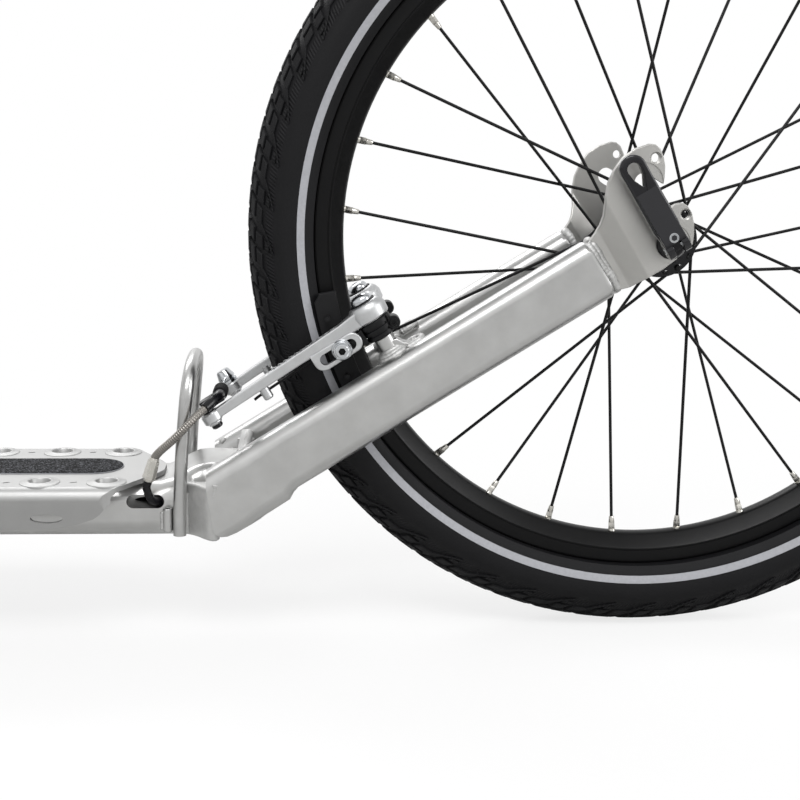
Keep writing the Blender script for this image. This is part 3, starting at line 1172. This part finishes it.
def arm_bar(length):
    """The tapered bar of a brake arm, its head and its slotted ear, for the +Y side."""
    bar = beam(1.7, [
        (-3, 33, 29.8, 7.4, 5.2), (-11, 34, 29.4, 5.8, 4.7), (-19, 34.6, 29, 4.4, 3.9),
        (-50, ARM_Y, 28, 3.8, 3.4), (-86, ARM_Y, 26.6, 3.5, 3.1), (-length + 2, ARM_Y, 25.6, 3.4, 2.9)])
    relief = moved(slab(obround(0, 0, 50, 4), -0.6, 4), place(-46, ARM_Y, 31.55) @ tilted(1.9))
    pattern = [moved(slab(obround(0, 0, 3.4, 1.2, 50), -0.8, 0.45), place(-66 + 4 * k, ARM_Y, 31 + 0.13 * k))
               for k in range(11)]
    head = turned_up([(24.8, 4.2), (24.8, 10.6), (25.8, 11.6), (31, 12.2), (34, 11.2), (35.6, 9.8),
                      (36.4, 8.2), (36.4, 4.2)], 64)
    ear = plate([(-44, 26.2), *arc(-38, 19.6, 6, 180, 270), *arc(-17, 19.6, 5.6, 270, 360),
                 *arc(-17.4, 20.2, 6, 0, 90)], 36.2, 40.8, edge=0.9)
    ear = carve(ear, plate(obround(-27.6, 19.8, 24.6, 6.8), 30, 50))
    bridge = block((-42, 35, 24), (-16, 38.4, 28), 1)
    tip = turned_up([(21.9, 4.2), (21.9, 5.2), (22.8, 6.1), (27.6, 6.1), (28.8, 5.2), (28.9, 4.2)], 40)
    tip = gather(tip, turned_up([(20.4, 0), (20.4, 3.8), (21.2, 4.4), (28.6, 4.4), (28.6, 0)], 32))
    return gather(carve(bar, relief), *pattern, moved(head, place(0, POST_Y, 0)), ear, bridge,
                  moved(tip, place(-length, ARM_Y, 0)))


# The tension screw of each spring, from its pivot
SCREW_X, SCREW_Z = 10, 17.4


def spring_parts():
    """The nylon spring housing with its ribs, tension screw and bent spring wire, for the +Y side."""
    body = turned_up([(13, 4.2), (13, 8.6), (13.6, 9.4), (15.6, 9.4), (15.8, 8.8), (17, 8.8), (17.2, 10.2),
                      (19.4, 10.4), (19.6, 9.4), (20.8, 9.4), (21, 10.6), (23.6, 10.6), (24.4, 10),
                      (24.4, 4.2)], 64)
    lug = turned([(-4, 0), (-4, 3.6), (-3.4, 4.2), (6.6, 4.2), (7.2, 3.6), (7.2, 0)], 40)
    moved(lug, place(SCREW_X, 0, SCREW_Z))
    wing = plate([(-9, 13.4), (-15, 15), (-20.6, 21), (-9, 24)], 2, 7, edge=0.8)
    ribs = [block((6 + 2 * k, -9.6 + k, 19), (6.9 + 2 * k, 8, 23.6), 0.3) for k in range(2)]
    ribs.append(block((2, -4, 14), (10, 5, 18), 1))
    wire = cable(0.9, [(-7, -0.6, 21.6), (-12, -0.5, 22.6), (-40, -0.4, 22.4), (-84, -0.2, 20.6),
                       (-87, 0, 20.2)], 6, 10)
    return moved(gather(body, lug, wing, *ribs, wire), place(0, POST_Y, 0))


def spring_screw():
    head = turned([(37, 0), (37, 2.6), (39.4, 2.7), (40, 2.2), (40, 0)], 32)
    return moved(carve(head, rod(1.3, (0, 38.6, 0), (0, 42, 0), 6)), place(SCREW_X, 0, SCREW_Z))


def hook_pin():
    """The pin beneath the arm that the spring wire rests on."""
    pin = turned_up([(16.4, 0), (16.4, 2.4), (17.2, 3.1), (26, 3.2), (26, 0)], 32)
    return moved(pin, place(-78.4, 33.8, 0))


def pad_bolt():
    """Dished washers and an allen bolt that hold the pad in the ear, for the +Y side."""
    outer = turned([(41.1, 0), (41.1, 6.2), (41.7, 6.4), (42.8, 5.8), (42.8, 0)], 48)
    middle = turned([(43.1, 0), (43.1, 5.2), (43.8, 5.4), (44.8, 5), (44.8, 0)], 48)
    neck = rod(3.4, (0, 42, 0), (0, 46, 0), 32)
    head = turned([(45.2, 0), (45.2, 4.1), (47.6, 4.2), (48.1, 3.7), (48.1, 0)], 48)
    return moved(gather(outer, middle, neck, carve(head, rod(2.3, (0, 45.9, 0), (0, 50, 0), 6))),
                 place(PAD_X, 0, PAD_Z))


def darken_socket(bolt, at):
    """Little light gets into the pad bolt's hexagon socket, so its walls and floor are dark."""
    bolt.data.materials.append(BLACK_STEEL)
    back = at.inverted()
    for face in bolt.data.polygons:
        x, y, z = (back @ face.center) / MM
        if math.hypot(x - PAD_X, z - PAD_Z) < 2.35 and 45.5 < abs(y) < 47.9:
            face.material_index = 1


def brake_pad(centre, radius, turn):
    """The moulded shoe, curved like the rim, with water grooves, and its black spacers, for the +Y side."""
    half = math.degrees(33.6 / radius)
    x, z = centre
    ends = math.degrees(5 / radius)
    shape = (arc(x, z, radius + 5.3, turn - half + ends, turn + half - ends, 10)
             + arc(x, z, radius + 2, turn + half - ends * 0.3, turn + half, 1)
             + arc(x, z, radius - 3.6, turn + half, turn + half - ends * 0.3, 1)
             + arc(x, z, radius - 6, turn + half - ends, turn - half + ends, 10)
             + arc(x, z, radius - 3.6, turn - half + ends * 0.3, turn - half, 1)
             + arc(x, z, radius + 2, turn - half, turn - half + ends * 0.3, 1))
    shoe = plate(shape, 14, 24, edge=1.1)
    wide = plate(arc(x, z, radius + 9.4, turn - half + ends, turn + half - ends * 0.8, 10)
                 + arc(x, z, radius + 6, turn + half - ends * 0.2, turn + half, 1)
                 + arc(x, z, radius - 4.6, turn + half, turn - half, 10)
                 + arc(x, z, radius + 6, turn - half, turn - half + ends * 0.2, 1), 18.4, 24.4, edge=1.2)
    tools = []
    for share in (-0.55, 0, 0.55):
        a = math.radians(turn + half * share)
        ahead = place(x + radius * math.cos(a), 0, z + radius * math.sin(a)) @ Matrix.Rotation(-a, 4, "Y")
        tools.append(moved(block((-7, 12, -0.9), (7, 15.8, 0.9)), ahead))
    for share in (-0.55, 0.55):
        a = math.radians(turn + half * share)
        px, pz = x + (radius + 3.4) * math.cos(a), z + (radius + 3.4) * math.sin(a)
        tools.append(rod(1.6, (px, 10, pz), (px, 30, pz), 20))
    spacers = turned([(23, 0), (23, 6.2), (28.4, 6.6), (28.8, 5.4), (33, 5.6), (35.6, 6.3), (35.9, 6),
                      (35.9, 0)], 40)
    cutter = gather(*tools)
    return gather(carve(shoe, cutter.copy()), carve(wide, cutter), moved(spacers, place(PAD_X, 0, PAD_Z)))


# The lead pipe's route, and the ferrule in which it ends
PIPE = [(CABLE_X, -25.3, CABLE_Z), (-105.2, -30.4, 33.5), (-108.6, -36, 33.3), (-114, -41.2, 32.7),
        (-120.5, -44.6, 31.8), (-128, -45.9, 30.1), (-136, -45.5, 28), (-143.4, -43.6, 26.4),
        (-150.2, -40.8, 25), (-156.8, -37.6, 22.6), (-159.8, -37.8, 19.9)]
FERRULE = Vector((-156.8, -37.6, 22.6))
FERRULE_AIM = Vector((-0.742, -0.06, -0.668)).normalized()


def pipe_head():
    """The black stirrup at the end of the -Y arm, with the sleeve that the lead pipe starts in."""
    strap = [block((-115.6, -36.4, 30.2), (-101.6, -25.6, 31.6), 0.4),
             block((-115.6, -36.4, 35.2), (-104, -25.6, 36.4), 0.4),
             block((-116.4, -35.6, 30.2), (-114.8, -26.4, 36.4), 0.5)]
    bolt = turned_up([(17.8, 0), (17.8, 2.6), (18.6, 3.5), (30.4, 3.5), (30.4, 4.6), (31.6, 4.6),
                      (31.6, 0)], 32)
    sleeve = cable(3.3, PIPE[:4], 8, 24)
    return gather(*strap, moved(bolt, place(-114, -ARM_Y, 0)), sleeve)


def anchor_bolt():
    """The bolt that clamps the bare cable at the end of the +Y arm, with the cable's tail and its crimp."""
    head = turned_up([(32, 0), (32, 5.6), (33, 5.8), (34.2, 5.4), (37.6, 4.4), (38.4, 3.6), (38.4, 0)], 40)
    washer = turned_up([(28.9, 0), (28.9, 5.6), (29.5, 5.9), (30.8, 5.9), (31.2, 5.2), (32, 5.2),
                        (32, 0)], 40)
    bolt_at = place(CABLE_X, ARM_Y, 0)
    tail = cable(0.8, [(-104, 33, 31.2), (-108, 35, 30.6), (-114, 34, 28.6)], 6, 10)
    crimp = rod(1.2, (-113, 34.2, 29), (-118, 33.4, 27), 12, edge=0.3)
    return gather(moved(head, bolt_at), moved(washer, bolt_at), tail, crimp)


def lead_pipe():
    """A coil of stainless strip: its turns show as fine ridges, 1.5 mm apart here so that they show."""
    line = route(PIPE, 30)
    walked, scales = 0, []
    for i in range(len(line)):
        walked += (line[i] - line[i - 1]).length if i else 0
        size = 1 + 0.09 * math.sin(FULL * walked / (1.5 * MM))
        scales.append((size, size))
    return swept(round_ring(2.4, 20), stations(line, scales))


def ferrule():
    """The brass ferrule, with a hexagon grip, between the lead pipe and the housing in the frame."""
    end = FERRULE + FERRULE_AIM * 15
    parts = [rod(3.5, FERRULE + FERRULE_AIM * 1.5, FERRULE + FERRULE_AIM * 13.4, 6, 4.2, 0.4),
             rod(2.9, FERRULE, FERRULE + FERRULE_AIM * 2, 24, 3.2, 0.2),
             rod(3, FERRULE + FERRULE_AIM * 13, end, 24, 2.8, 0.3)]
    return gather(*parts)


def boot():
    """The rubber bellows over the bare cable between the arms."""
    profile = [(-24.4, 2), (-24.4, 3.9)]
    for fold in range(5):
        y = -24 + 3 * fold
        profile += [(y + 0.5, 4.5), (y + 1.2, 4.6), (y + 1.9, 4.1), (y + 2.5, 3.5), (y + 2.9, 3.7)]
    return moved(turned(profile + [(-8.7, 3.4), (-8.7, 2.2)], 40), place(CABLE_X, 0, CABLE_Z))


def brake(prefix, at, held_by, names, centre, radius, turn, spring_nodes, boot_node):
    """A whole rim brake. names gives the side's name for -Y and +Y in the brake's own frame, and centre,
    radius and turn place the pads on the rim."""
    for side in (-1, 1):
        name = names[side]
        body = f"{prefix}_{name}_arm"
        length = 114 if side < 0 else 104
        piece(f"{prefix}_brake_arm_{name}_casting", handed(side, arm_bar(length)), at, body,
              SILVER, [f"{prefix}_brake_arm_{name}"], angle=34)
        piece(f"{prefix}_brake_spring_{name}_housing", handed(side, spring_parts()), at, body,
              PLASTIC, [f"{prefix}_brake_spring_{name}"] if spring_nodes else ())
        piece(f"{prefix}_spring_screw_{name}", handed(side, spring_screw()), at, body,
              BLACK_STEEL)
        piece(f"{prefix}_spring_hook_{name}", handed(side, hook_pin()), at, body, SILVER)
        bolt = piece(f"{prefix}_pad_bolt_{name}", handed(side, pad_bolt()), at, body, BRIGHT)
        darken_socket(bolt, at)
        piece(f"{prefix}_brake_pad_{name}_shoe", handed(side, brake_pad(centre, radius, turn)), at, body,
              RUBBER, [f"{prefix}_brake_pad_{name}"])
    left, right = f"{prefix}_{names[-1]}_arm", f"{prefix}_{names[1]}_arm"
    piece(f"{prefix}_pipe_stirrup", pipe_head(), at, left, BLACK_ALLOY)
    piece(f"{prefix}_cable_anchor", anchor_bolt(), at, right, BRIGHT)
    bare = [(CABLE_X, 36, 33.4), (CABLE_X, 14, CABLE_Z), (CABLE_X, -13, CABLE_Z)]
    piece(f"{prefix}_inner_cable", cable(0.8, bare, 16, 10), at, right, BRIGHT, level=False,
          angle=60, bend=(right, held_by, at @ spot(CABLE_X, 32, 33.4), at @ spot(CABLE_X, -8, CABLE_Z)))
    piece(f"{prefix}_cable_bellows", boot(), at, left, RUBBER, boot_node)
    piece(f"{prefix}_lead_pipe_coil", lead_pipe(), at, left, COIL, [f"{prefix}_lead_pipe"],
          level=False, angle=60, bend=(left, held_by, at @ spot(*PIPE[3]), at @ spot(*PIPE[9])))
    piece(f"{prefix}_housing_ferrule", ferrule(), at, held_by, NICKEL)


brake("rear", REAR_BRAKE, "frame", {-1: "left", 1: "right"}, (-REAR_POST_X, -REAR_POST_Z), 204.6, 166.9,
      True, ["rear_cable_boot"])
brake("front", FRONT_BRAKE, "steering", {-1: "right", 1: "left"}, (255.9, 31), 281.1, 182.3, False, ())


# Head tube, fork, stem and handlebar, drawn on the steering axis

def headset():
    """The head tube with its two cups, and the weld where the frame tube meets it."""
    tube = turned_up([(12.4, 17.5), (12.4, 22.8), (13, 23.2), (17, 23.2), (19, 22), (135, 22), (137, 23.2),
                      (141, 23.2), (141.6, 22.8), (141.6, 17.5)], 96)
    piece("head_tube_body", tube, STEERING, "frame", SATIN_FORK, ["head_tube"], angle=24)
    lower = turned_up([(20, 14.7), (20, 17.2), (12, 17.2), (12, 23.4), (11.4, 24), (6.2, 24), (5.4, 23.2),
                       (2.9, 20.7), (2.9, 14.7)], 96)
    upper = turned_up([(134, 14.7), (134, 17.2), (142, 17.2), (142, 23.4), (142.6, 24), (148, 24),
                       (149.6, 22.6), (153.7, 20.6), (153.7, 14.7)], 96)
    piece("headset_cup_low", lower, STEERING, "frame", BLACK_ALLOY, ["headset_lower_cup"])
    piece("headset_cup_high", upper, STEERING, "frame", BLACK_ALLOY, ["headset_upper_cup"])
    seam = [(21.2, 14, 66), (22.6, 8, 60), (23.4, 0, 58), (22.6, -8, 60), (21.2, -14, 66), (16.5, -19.4, 80),
            (13.2, -21.6, 96), (13.6, -21.4, 112), (16.8, -18, 122), (20.2, -10, 127), (21.6, 0, 128.4),
            (20.2, 10, 127), (16.8, 18, 122), (13.6, 21.4, 112), (13.2, 21.6, 96), (16.5, 19.4, 80),
            (21.2, 14, 66)]
    piece("head_tube_weld", weld(3, seam), STEERING, "frame", WELD, level=False, angle=60)


def fork():
    """The crown with its steerer, two tapered blades that curve forwards, and the front brake's posts."""
    crown = slab([(-18, -50), (18, -50), (18, 50), (-18, 50)], -24.3, -0.3, corner=10.8, edge=3.2,
                 segments=6)
    crown = carve(crown, rod(11.9, (0, 0, -30), (0, 0, 5), 48))
    steerer = turned_up([(-24, 11.9), (-24, 14.3), (217.5, 14.3), (217.5, 11.9)], 64)
    race = turned_up([(-3, 14), (-3, 19), (0.4, 19), (2.5, 17), (2.5, 14)], 64)
    piece("fork_crown_body", gather(crown, steerer, race), STEERING, "steering",
          SATIN_FORK, ["fork_crown"])
    for side, name in ((-1, "left"), (1, "right")):
        frames = []
        for step in range(25):
            share = step / 24
            z = -24.9 + (-383.5 + 24.9) * share
            x = -45 * max(0, (share - 0.45) / 0.55) ** 2
            slim = max(0, (share - 0.35) / 0.65)
            frames.append(place(x, side * (38.5 + 14 * share), z)
                          @ Matrix.Diagonal(((14 - 6.5 * slim), (10.5 - 3 * slim), 1, 1)))
        blade = swept(round_ring(1, 40), frames)
        inner, outer = sorted((side * 50, side * 55))
        tip = plate([(-56, -397.5), (-53, -372), (-51, -368), (-39, -368), (-37, -372), (-34, -397.5),
                     *arc(-45, -397.5, 11, 0, -180, 12)[1:-1]], inner, outer, edge=0.8)
        slot = plate(obround(-45, -403.3, 22, 10.6, 90), -70, 70)
        piece(f"fork_blade_{name}_tube", gather(blade, carve(tip, slot)), STEERING, "steering",
              SATIN_FORK, [f"fork_blade_{name}"], angle=30)
        base = side * 38.5
        around_top = [(14.6 * math.cos(a), base + 11 * math.sin(a), -25.6) for a in
                      [FULL * k / 12 for k in range(13)]]
        around_tip = [(-52, side * 49, -374), (-45, side * 48.6, -379), (-38, side * 49, -374)]
        boss = [(-15, side * POST_Y, FRONT_POST_Z - 8), (-12.4, side * POST_Y, FRONT_POST_Z - 9),
                (-10, side * 24.5, FRONT_POST_Z - 6)]
        piece(f"fork_welds_{name}", gather(weld(2.4, around_top), weld(2, around_tip), weld(1.8, boss)),
              STEERING, "steering", WELD, level=False, angle=60)
        barrel = turned_up([(-13, 0), (-13, 6.4), (12, 6.2), (12.8, 5.4), (12.8, 4), (36, 4), (36, 0)], 48)
        piece(f"front_brake_post_{name}", moved(barrel, place(0, -side * POST_Y, 0)), FRONT_BRAKE,
              "steering", SATIN_FRAME)
        piece(f"front_pivot_bolt_{name}", bolt_cap(-side), FRONT_BRAKE, "steering", BRIGHT)
        piece(f"front_cap_gasket_{name}", cap_gasket(-side), FRONT_BRAKE, "steering",
              PLASTIC)


def stem():
    """The spacer rings, the stem with its faceplate and bolts, and the cap on the steerer."""
    rings = [turned_up([(z, 14.6), (z, 17.6), (z + 0.5, 18.1), (z + 7.1, 18.1), (z + 7.6, 17.6),
                        (z + 7.6, 14.6)], 64) for z in (154.3, 162.2, 170.1)]
    piece("steering_spacer_rings", gather(*rings), STEERING, "steering", BLACK_ALLOY,
          ["steering_spacer"])
    clamp = turned_up([(178, 14.6), (178, 18.2), (178.8, 19), (217.2, 19), (218, 18.2), (218, 14.6)], 96)
    line = [spot(-8, 0, 207), spot(-18, 0, 219), spot(-34, 0, 237), spot(-42, 0, 246)]
    waist = [(1.1, 1), (0.95, 0.95), (0.95, 0.9), (1.2, 0.95)]
    neck = swept(box_ring(15.5, 14.5, 9, 8), stations(line, waist))
    steerer_room = rod(14.6, (0, 0, 170), (0, 0, 218.2), 64)
    ring = turned([(-21, 11.4), (-21, 19.2), (-20.2, 20), (20.2, 20), (21, 19.2), (21, 11.4)], 96)
    moved(ring, place(BAR_X, 0, CLAMP_Z))
    rear = carve(ring.copy(), block((-80, -40, 220), (-52.4, 40, 290)))
    front = carve(ring, block((-53.1, -40, 220), (-20, 40, 290)))
    bar_room = rod(11.4, (BAR_X, -40, CLAMP_Z), (BAR_X, 40, CLAMP_Z), 64)
    neck = carve(neck, steerer_room, bar_room)
    ears, bolts = [], []
    for z in (186.5, 209.5):
        ears.append(carve(block((13, -8, z - 6.5), (26, 8, z + 6.5), 2),
                          rod(14.6, (0, 0, 170), (0, 0, 222), 48), block((10, -1, z - 8), (30, 1, z + 8))))
        bolts.append(carve(rod(3.6, (20.5, -11.4, z), (20.5, -8, z), 32, edge=0.4),
                           rod(1.9, (20.5, -13, z), (20.5, -9.6, z), 6)))
        bolts.append(rod(2.6, (20.5, -9, z), (20.5, 9, z), 20))
    for y in (-14.5, 14.5):
        for z in (CLAMP_Z - 15.6, CLAMP_Z + 15.6):
            ears.append(block((-61, y - 4.6, z - 3.8), (-53.2, y + 4.6, z + 3.8), 1.4))
            ears.append(block((-52.2, y - 4.6, z - 3.8), (-42, y + 4.6, z + 3.8), 1.4))
            bolts.append(carve(rod(3.2, (-63.6, y, z), (-60.4, y, z), 32, edge=0.4),
                               rod(1.7, (-65, y, z), (-62, y, z), 6)))
    piece("stem_forging", gather(clamp, neck, rear, *ears[:2]), STEERING, "steering",
          BLACK_ALLOY, ["stem"])
    piece("stem_faceplate_forging", gather(front, *ears[2:]), STEERING, "steering",
          BLACK_ALLOY, ["stem_faceplate"])
    piece("stem_bolts", gather(*bolts), STEERING, "steering", BLACK_STEEL)
    dome = turned_up([(218.3, 0), (218.3, 15.1), (218.8, 15.5), (220.8, 15.5), (222, 12.5), (222.2, 0)], 64)
    cap = carve(dome, rod(3.4, (0, 0, 220.4), (0, 0, 226), 32))
    bolt = carve(rod(3.2, (0, 0, 219.4), (0, 0, 221.8), 32, edge=0.3),
                 rod(1.8, (0, 0, 220.6), (0, 0, 224), 6))
    piece("stem_cap_and_bolt", gather(cap, bolt), STEERING, "steering", BLACK_ALLOY,
          ["stem_top_cap"])


def bar_end(side):
    """The frame of one end of the handlebar, with Y along it."""
    turn = Matrix.Rotation(math.radians(-BAR_SWEEP * side), 4, "Z")
    return STEERING @ place(BAR_X, side * BAR_BEND_Y, BAR_Z) @ turn


def handlebar():
    """The bent bar, from its left end to its right one, with a ribbed grip on each end."""
    sweep = math.tan(math.radians(BAR_SWEEP))
    ends = [(BAR_X + (y - BAR_BEND_Y) * sweep, y, BAR_Z) for y in (300, 250, 200, 150, 122)]
    rise = [(BAR_X, y, z) for y, z in ((BAR_BEND_Y, BAR_Z), (103, 286.4), (95, 281.5), (85, 274.6),
                                       (74, 267), (63, 260.4), (54, 256.9), (44, CLAMP_Z), (22, CLAMP_Z))]
    right = ends + rise
    line = [(x, -y, z) for x, y, z in right] + [(BAR_X, 0, CLAMP_Z)] + right[::-1]
    piece("handlebar_tube", cable(11.1, line, 5, 40), STEERING, "steering", BLACK_ALLOY,
          ["handlebar"])
    for side, name in ((-1, "left"), (1, "right")):
        profile = [(69.1, 11.8), (69.1, 19.3), (69.8, 20), (72.4, 20), (73.1, 19.3), (74, 15.4)]
        for rib in range(19):
            y = 76 + rib * 6
            profile += [(y, 15.2), (y + 0.8, 15.9), (y + 4, 15.9), (y + 4.8, 15.2)]
        profile += [(190.6, 15.4), (191.2, 16), (193.6, 16), (194.05, 15.2), (194.05, 0), (191.5, 0),
                    (191.5, 11.8)]
        piece(f"grip_{name}_sleeve", handed(side, turned(profile, 64)), bar_end(side), "steering",
              RUBBER, [f"grip_{name}"])


# The brake lever's pivot, and the middle of its bracket's clamp, in the frame of the bar's end
LEVER_X, LEVER_Y = -34, 58.05
BRACKET_Y = 54.05


def lever_bracket():
    """The clamp, body, pivot and cable adjuster of a brake lever, for the +Y side."""
    ring = turned([(47.05, 11.7), (47.05, 15.2), (47.9, 16), (60.2, 16), (61.05, 15.2), (61.05, 11.7)], 64)
    body = carve(block((-36, 47.6, -8.6), (-10, 60.4, 8.6), 2.4), block((-50, 48, -4.1), (-24.6, 72, 4.1)))
    boss = carve(rod(8, (LEVER_X, LEVER_Y, -9), (LEVER_X, LEVER_Y, 9), 48, edge=0.9),
                 block((-50, 48, -4.1), (-20, 72, 4.1)))
    adjuster = turned([(31.2, 0), (31.2, 3.4), (32, 4.1), (34, 4.1), (34.4, 3.3), (38, 3.3), (38, 4.9),
                       (43.6, 4.9), (44, 4), (50, 4), (50, 0)], 40)
    knurls = []
    for a in [FULL * k / 18 for k in range(18)]:
        x, z = 4.9 * math.cos(a), 4.9 * math.sin(a)
        knurls.append(rod(0.5, (x, 38.4, z), (x, 43.2, z), 6))
    stub = moved(gather(adjuster, *knurls), place(-24.5, 0, 0))
    clamp_bolt = carve(rod(3.2, (13.5, BRACKET_Y, -8), (13.5, BRACKET_Y, -4), 24, edge=0.4),
                       rod(1.7, (13.5, BRACKET_Y, -10), (13.5, BRACKET_Y, -6), 6))
    ear = block((10.5, 50, -6.4), (19, 58.1, 6.4), 1.4)
    return gather(body, boss, ring, stub, clamp_bolt, ear)


def lever_blade():
    """A two-finger blade, curved out along the grip, with a rounded tip, for the +Y side."""
    outer = [(-38, 56), (-42.5, 60), (-47, 66), (-51, 74), (-53.4, 84), (-54.4, 95), (-54.6, 108),
             (-54, 122), (-53.6, 134), (-54.6, 146), (-57, 153)]
    tip = arc(-54.5, 154, 4.1, 200, 20, 8)
    inner = [(-49.4, 148), (-47.4, 136), (-45.8, 122), (-45.5, 108), (-45.2, 95), (-43.6, 84), (-40, 76),
             (-33, 70), (-29.4, 64), (-28.6, 58), (-31, 53.4), (-35, 52.6)]
    blade = slab(outer + tip + inner, -3.5, 3.5, corner=0.8, edge=1.9)
    return carve(blade, rod(2.8, (LEVER_X, LEVER_Y, -9), (LEVER_X, LEVER_Y, 9), 32))


def levers():
    for side, name in ((-1, "left"), (1, "right")):
        at = bar_end(side) @ tilted(52)
        piece(f"lever_bracket_{name}_body", handed(side, lever_bracket()), at, "steering",
              BLACK_ALLOY, [f"brake_lever_bracket_{name}"])
        pin = carve(rod(2.5, (LEVER_X, LEVER_Y, -9.3), (LEVER_X, LEVER_Y, 9.3), 32, edge=0.3),
                    rod(1.3, (LEVER_X, LEVER_Y, 8), (LEVER_X, LEVER_Y, 12), 6))
        piece(f"lever_pivot_{name}", handed(side, pin), at, "steering", BRIGHT)
        piece(f"lever_blade_{name}", handed(side, lever_blade()), at, f"{name}_brake_lever",
              SILVER, [f"brake_lever_{name}"])


headset()
fork()
stem()
handlebar()
levers()


# Cable housings

def housings():
    """Left lever to front brake, right lever to the frame's upper port, and through the frame to its end."""
    front = [(-63.8, -142.2, 268.7), (-65.3, -127.5, 268.7), (-92, -92, 262), (-118, -38, 236),
             (-122, 6, 182), (-96, 32, 122), (-58, 41, 72), (-16.6, 39.4, 37.5), (-26.2, 38.5, 26.8)]
    piece("front_cable_run", cable(2.5, front, 10, 20), STEERING, "steering", HOUSING,
          ["front_cable_housing"], level=False)
    loop = [(-63.8, 142.2, 268.7), (-65.3, 127.5, 268.7), (-94, 92, 262), (-112, 58, 222), (-92, 48, 160),
            (-42, 46, 104), (16, 47, 62), (74.2, 35.1, 9.9), (83.3, 24.2, -0.2)]
    piece("rear_cable_free_loop", cable(2.5, loop, 10, 20), STEERING, "frame", HOUSING,
          ["rear_cable_loop"], level=False,
          bend=("frame", "steering", STEERING @ spot(83.3, 24.2, -0.2), STEERING @ spot(-92, 48, 160)))
    inside = [(-311, -38.5, 102.6), (-311.9, -38.6, 99), (-309.4, -37.9, 91.4), (-306.6, -33.4, 88.8),
              (-306, -27, 87.2), (-309.5, -18.5, 85.4), (-322, -12, 83.4), (-345, -4, 82.2), (-400, 0, 82.2),
              (-540, 0, 82.2), (-688, 0, 82.2), (-751.7, 0, 94.6), (-806.1, 0, 129.9), (-843.9, 0, 184.3),
              (-935, 0, 394), (-1027.5, 0, 606.6), (-1044.3, 8, 645.1), (-1052.1, 23.8, 663.1)]
    piece("rear_cable_run", cable(2.5, inside, 8, 20), BELOW_AXLE, "frame", HOUSING,
          ["rear_cable_housing"], level=False)


housings()
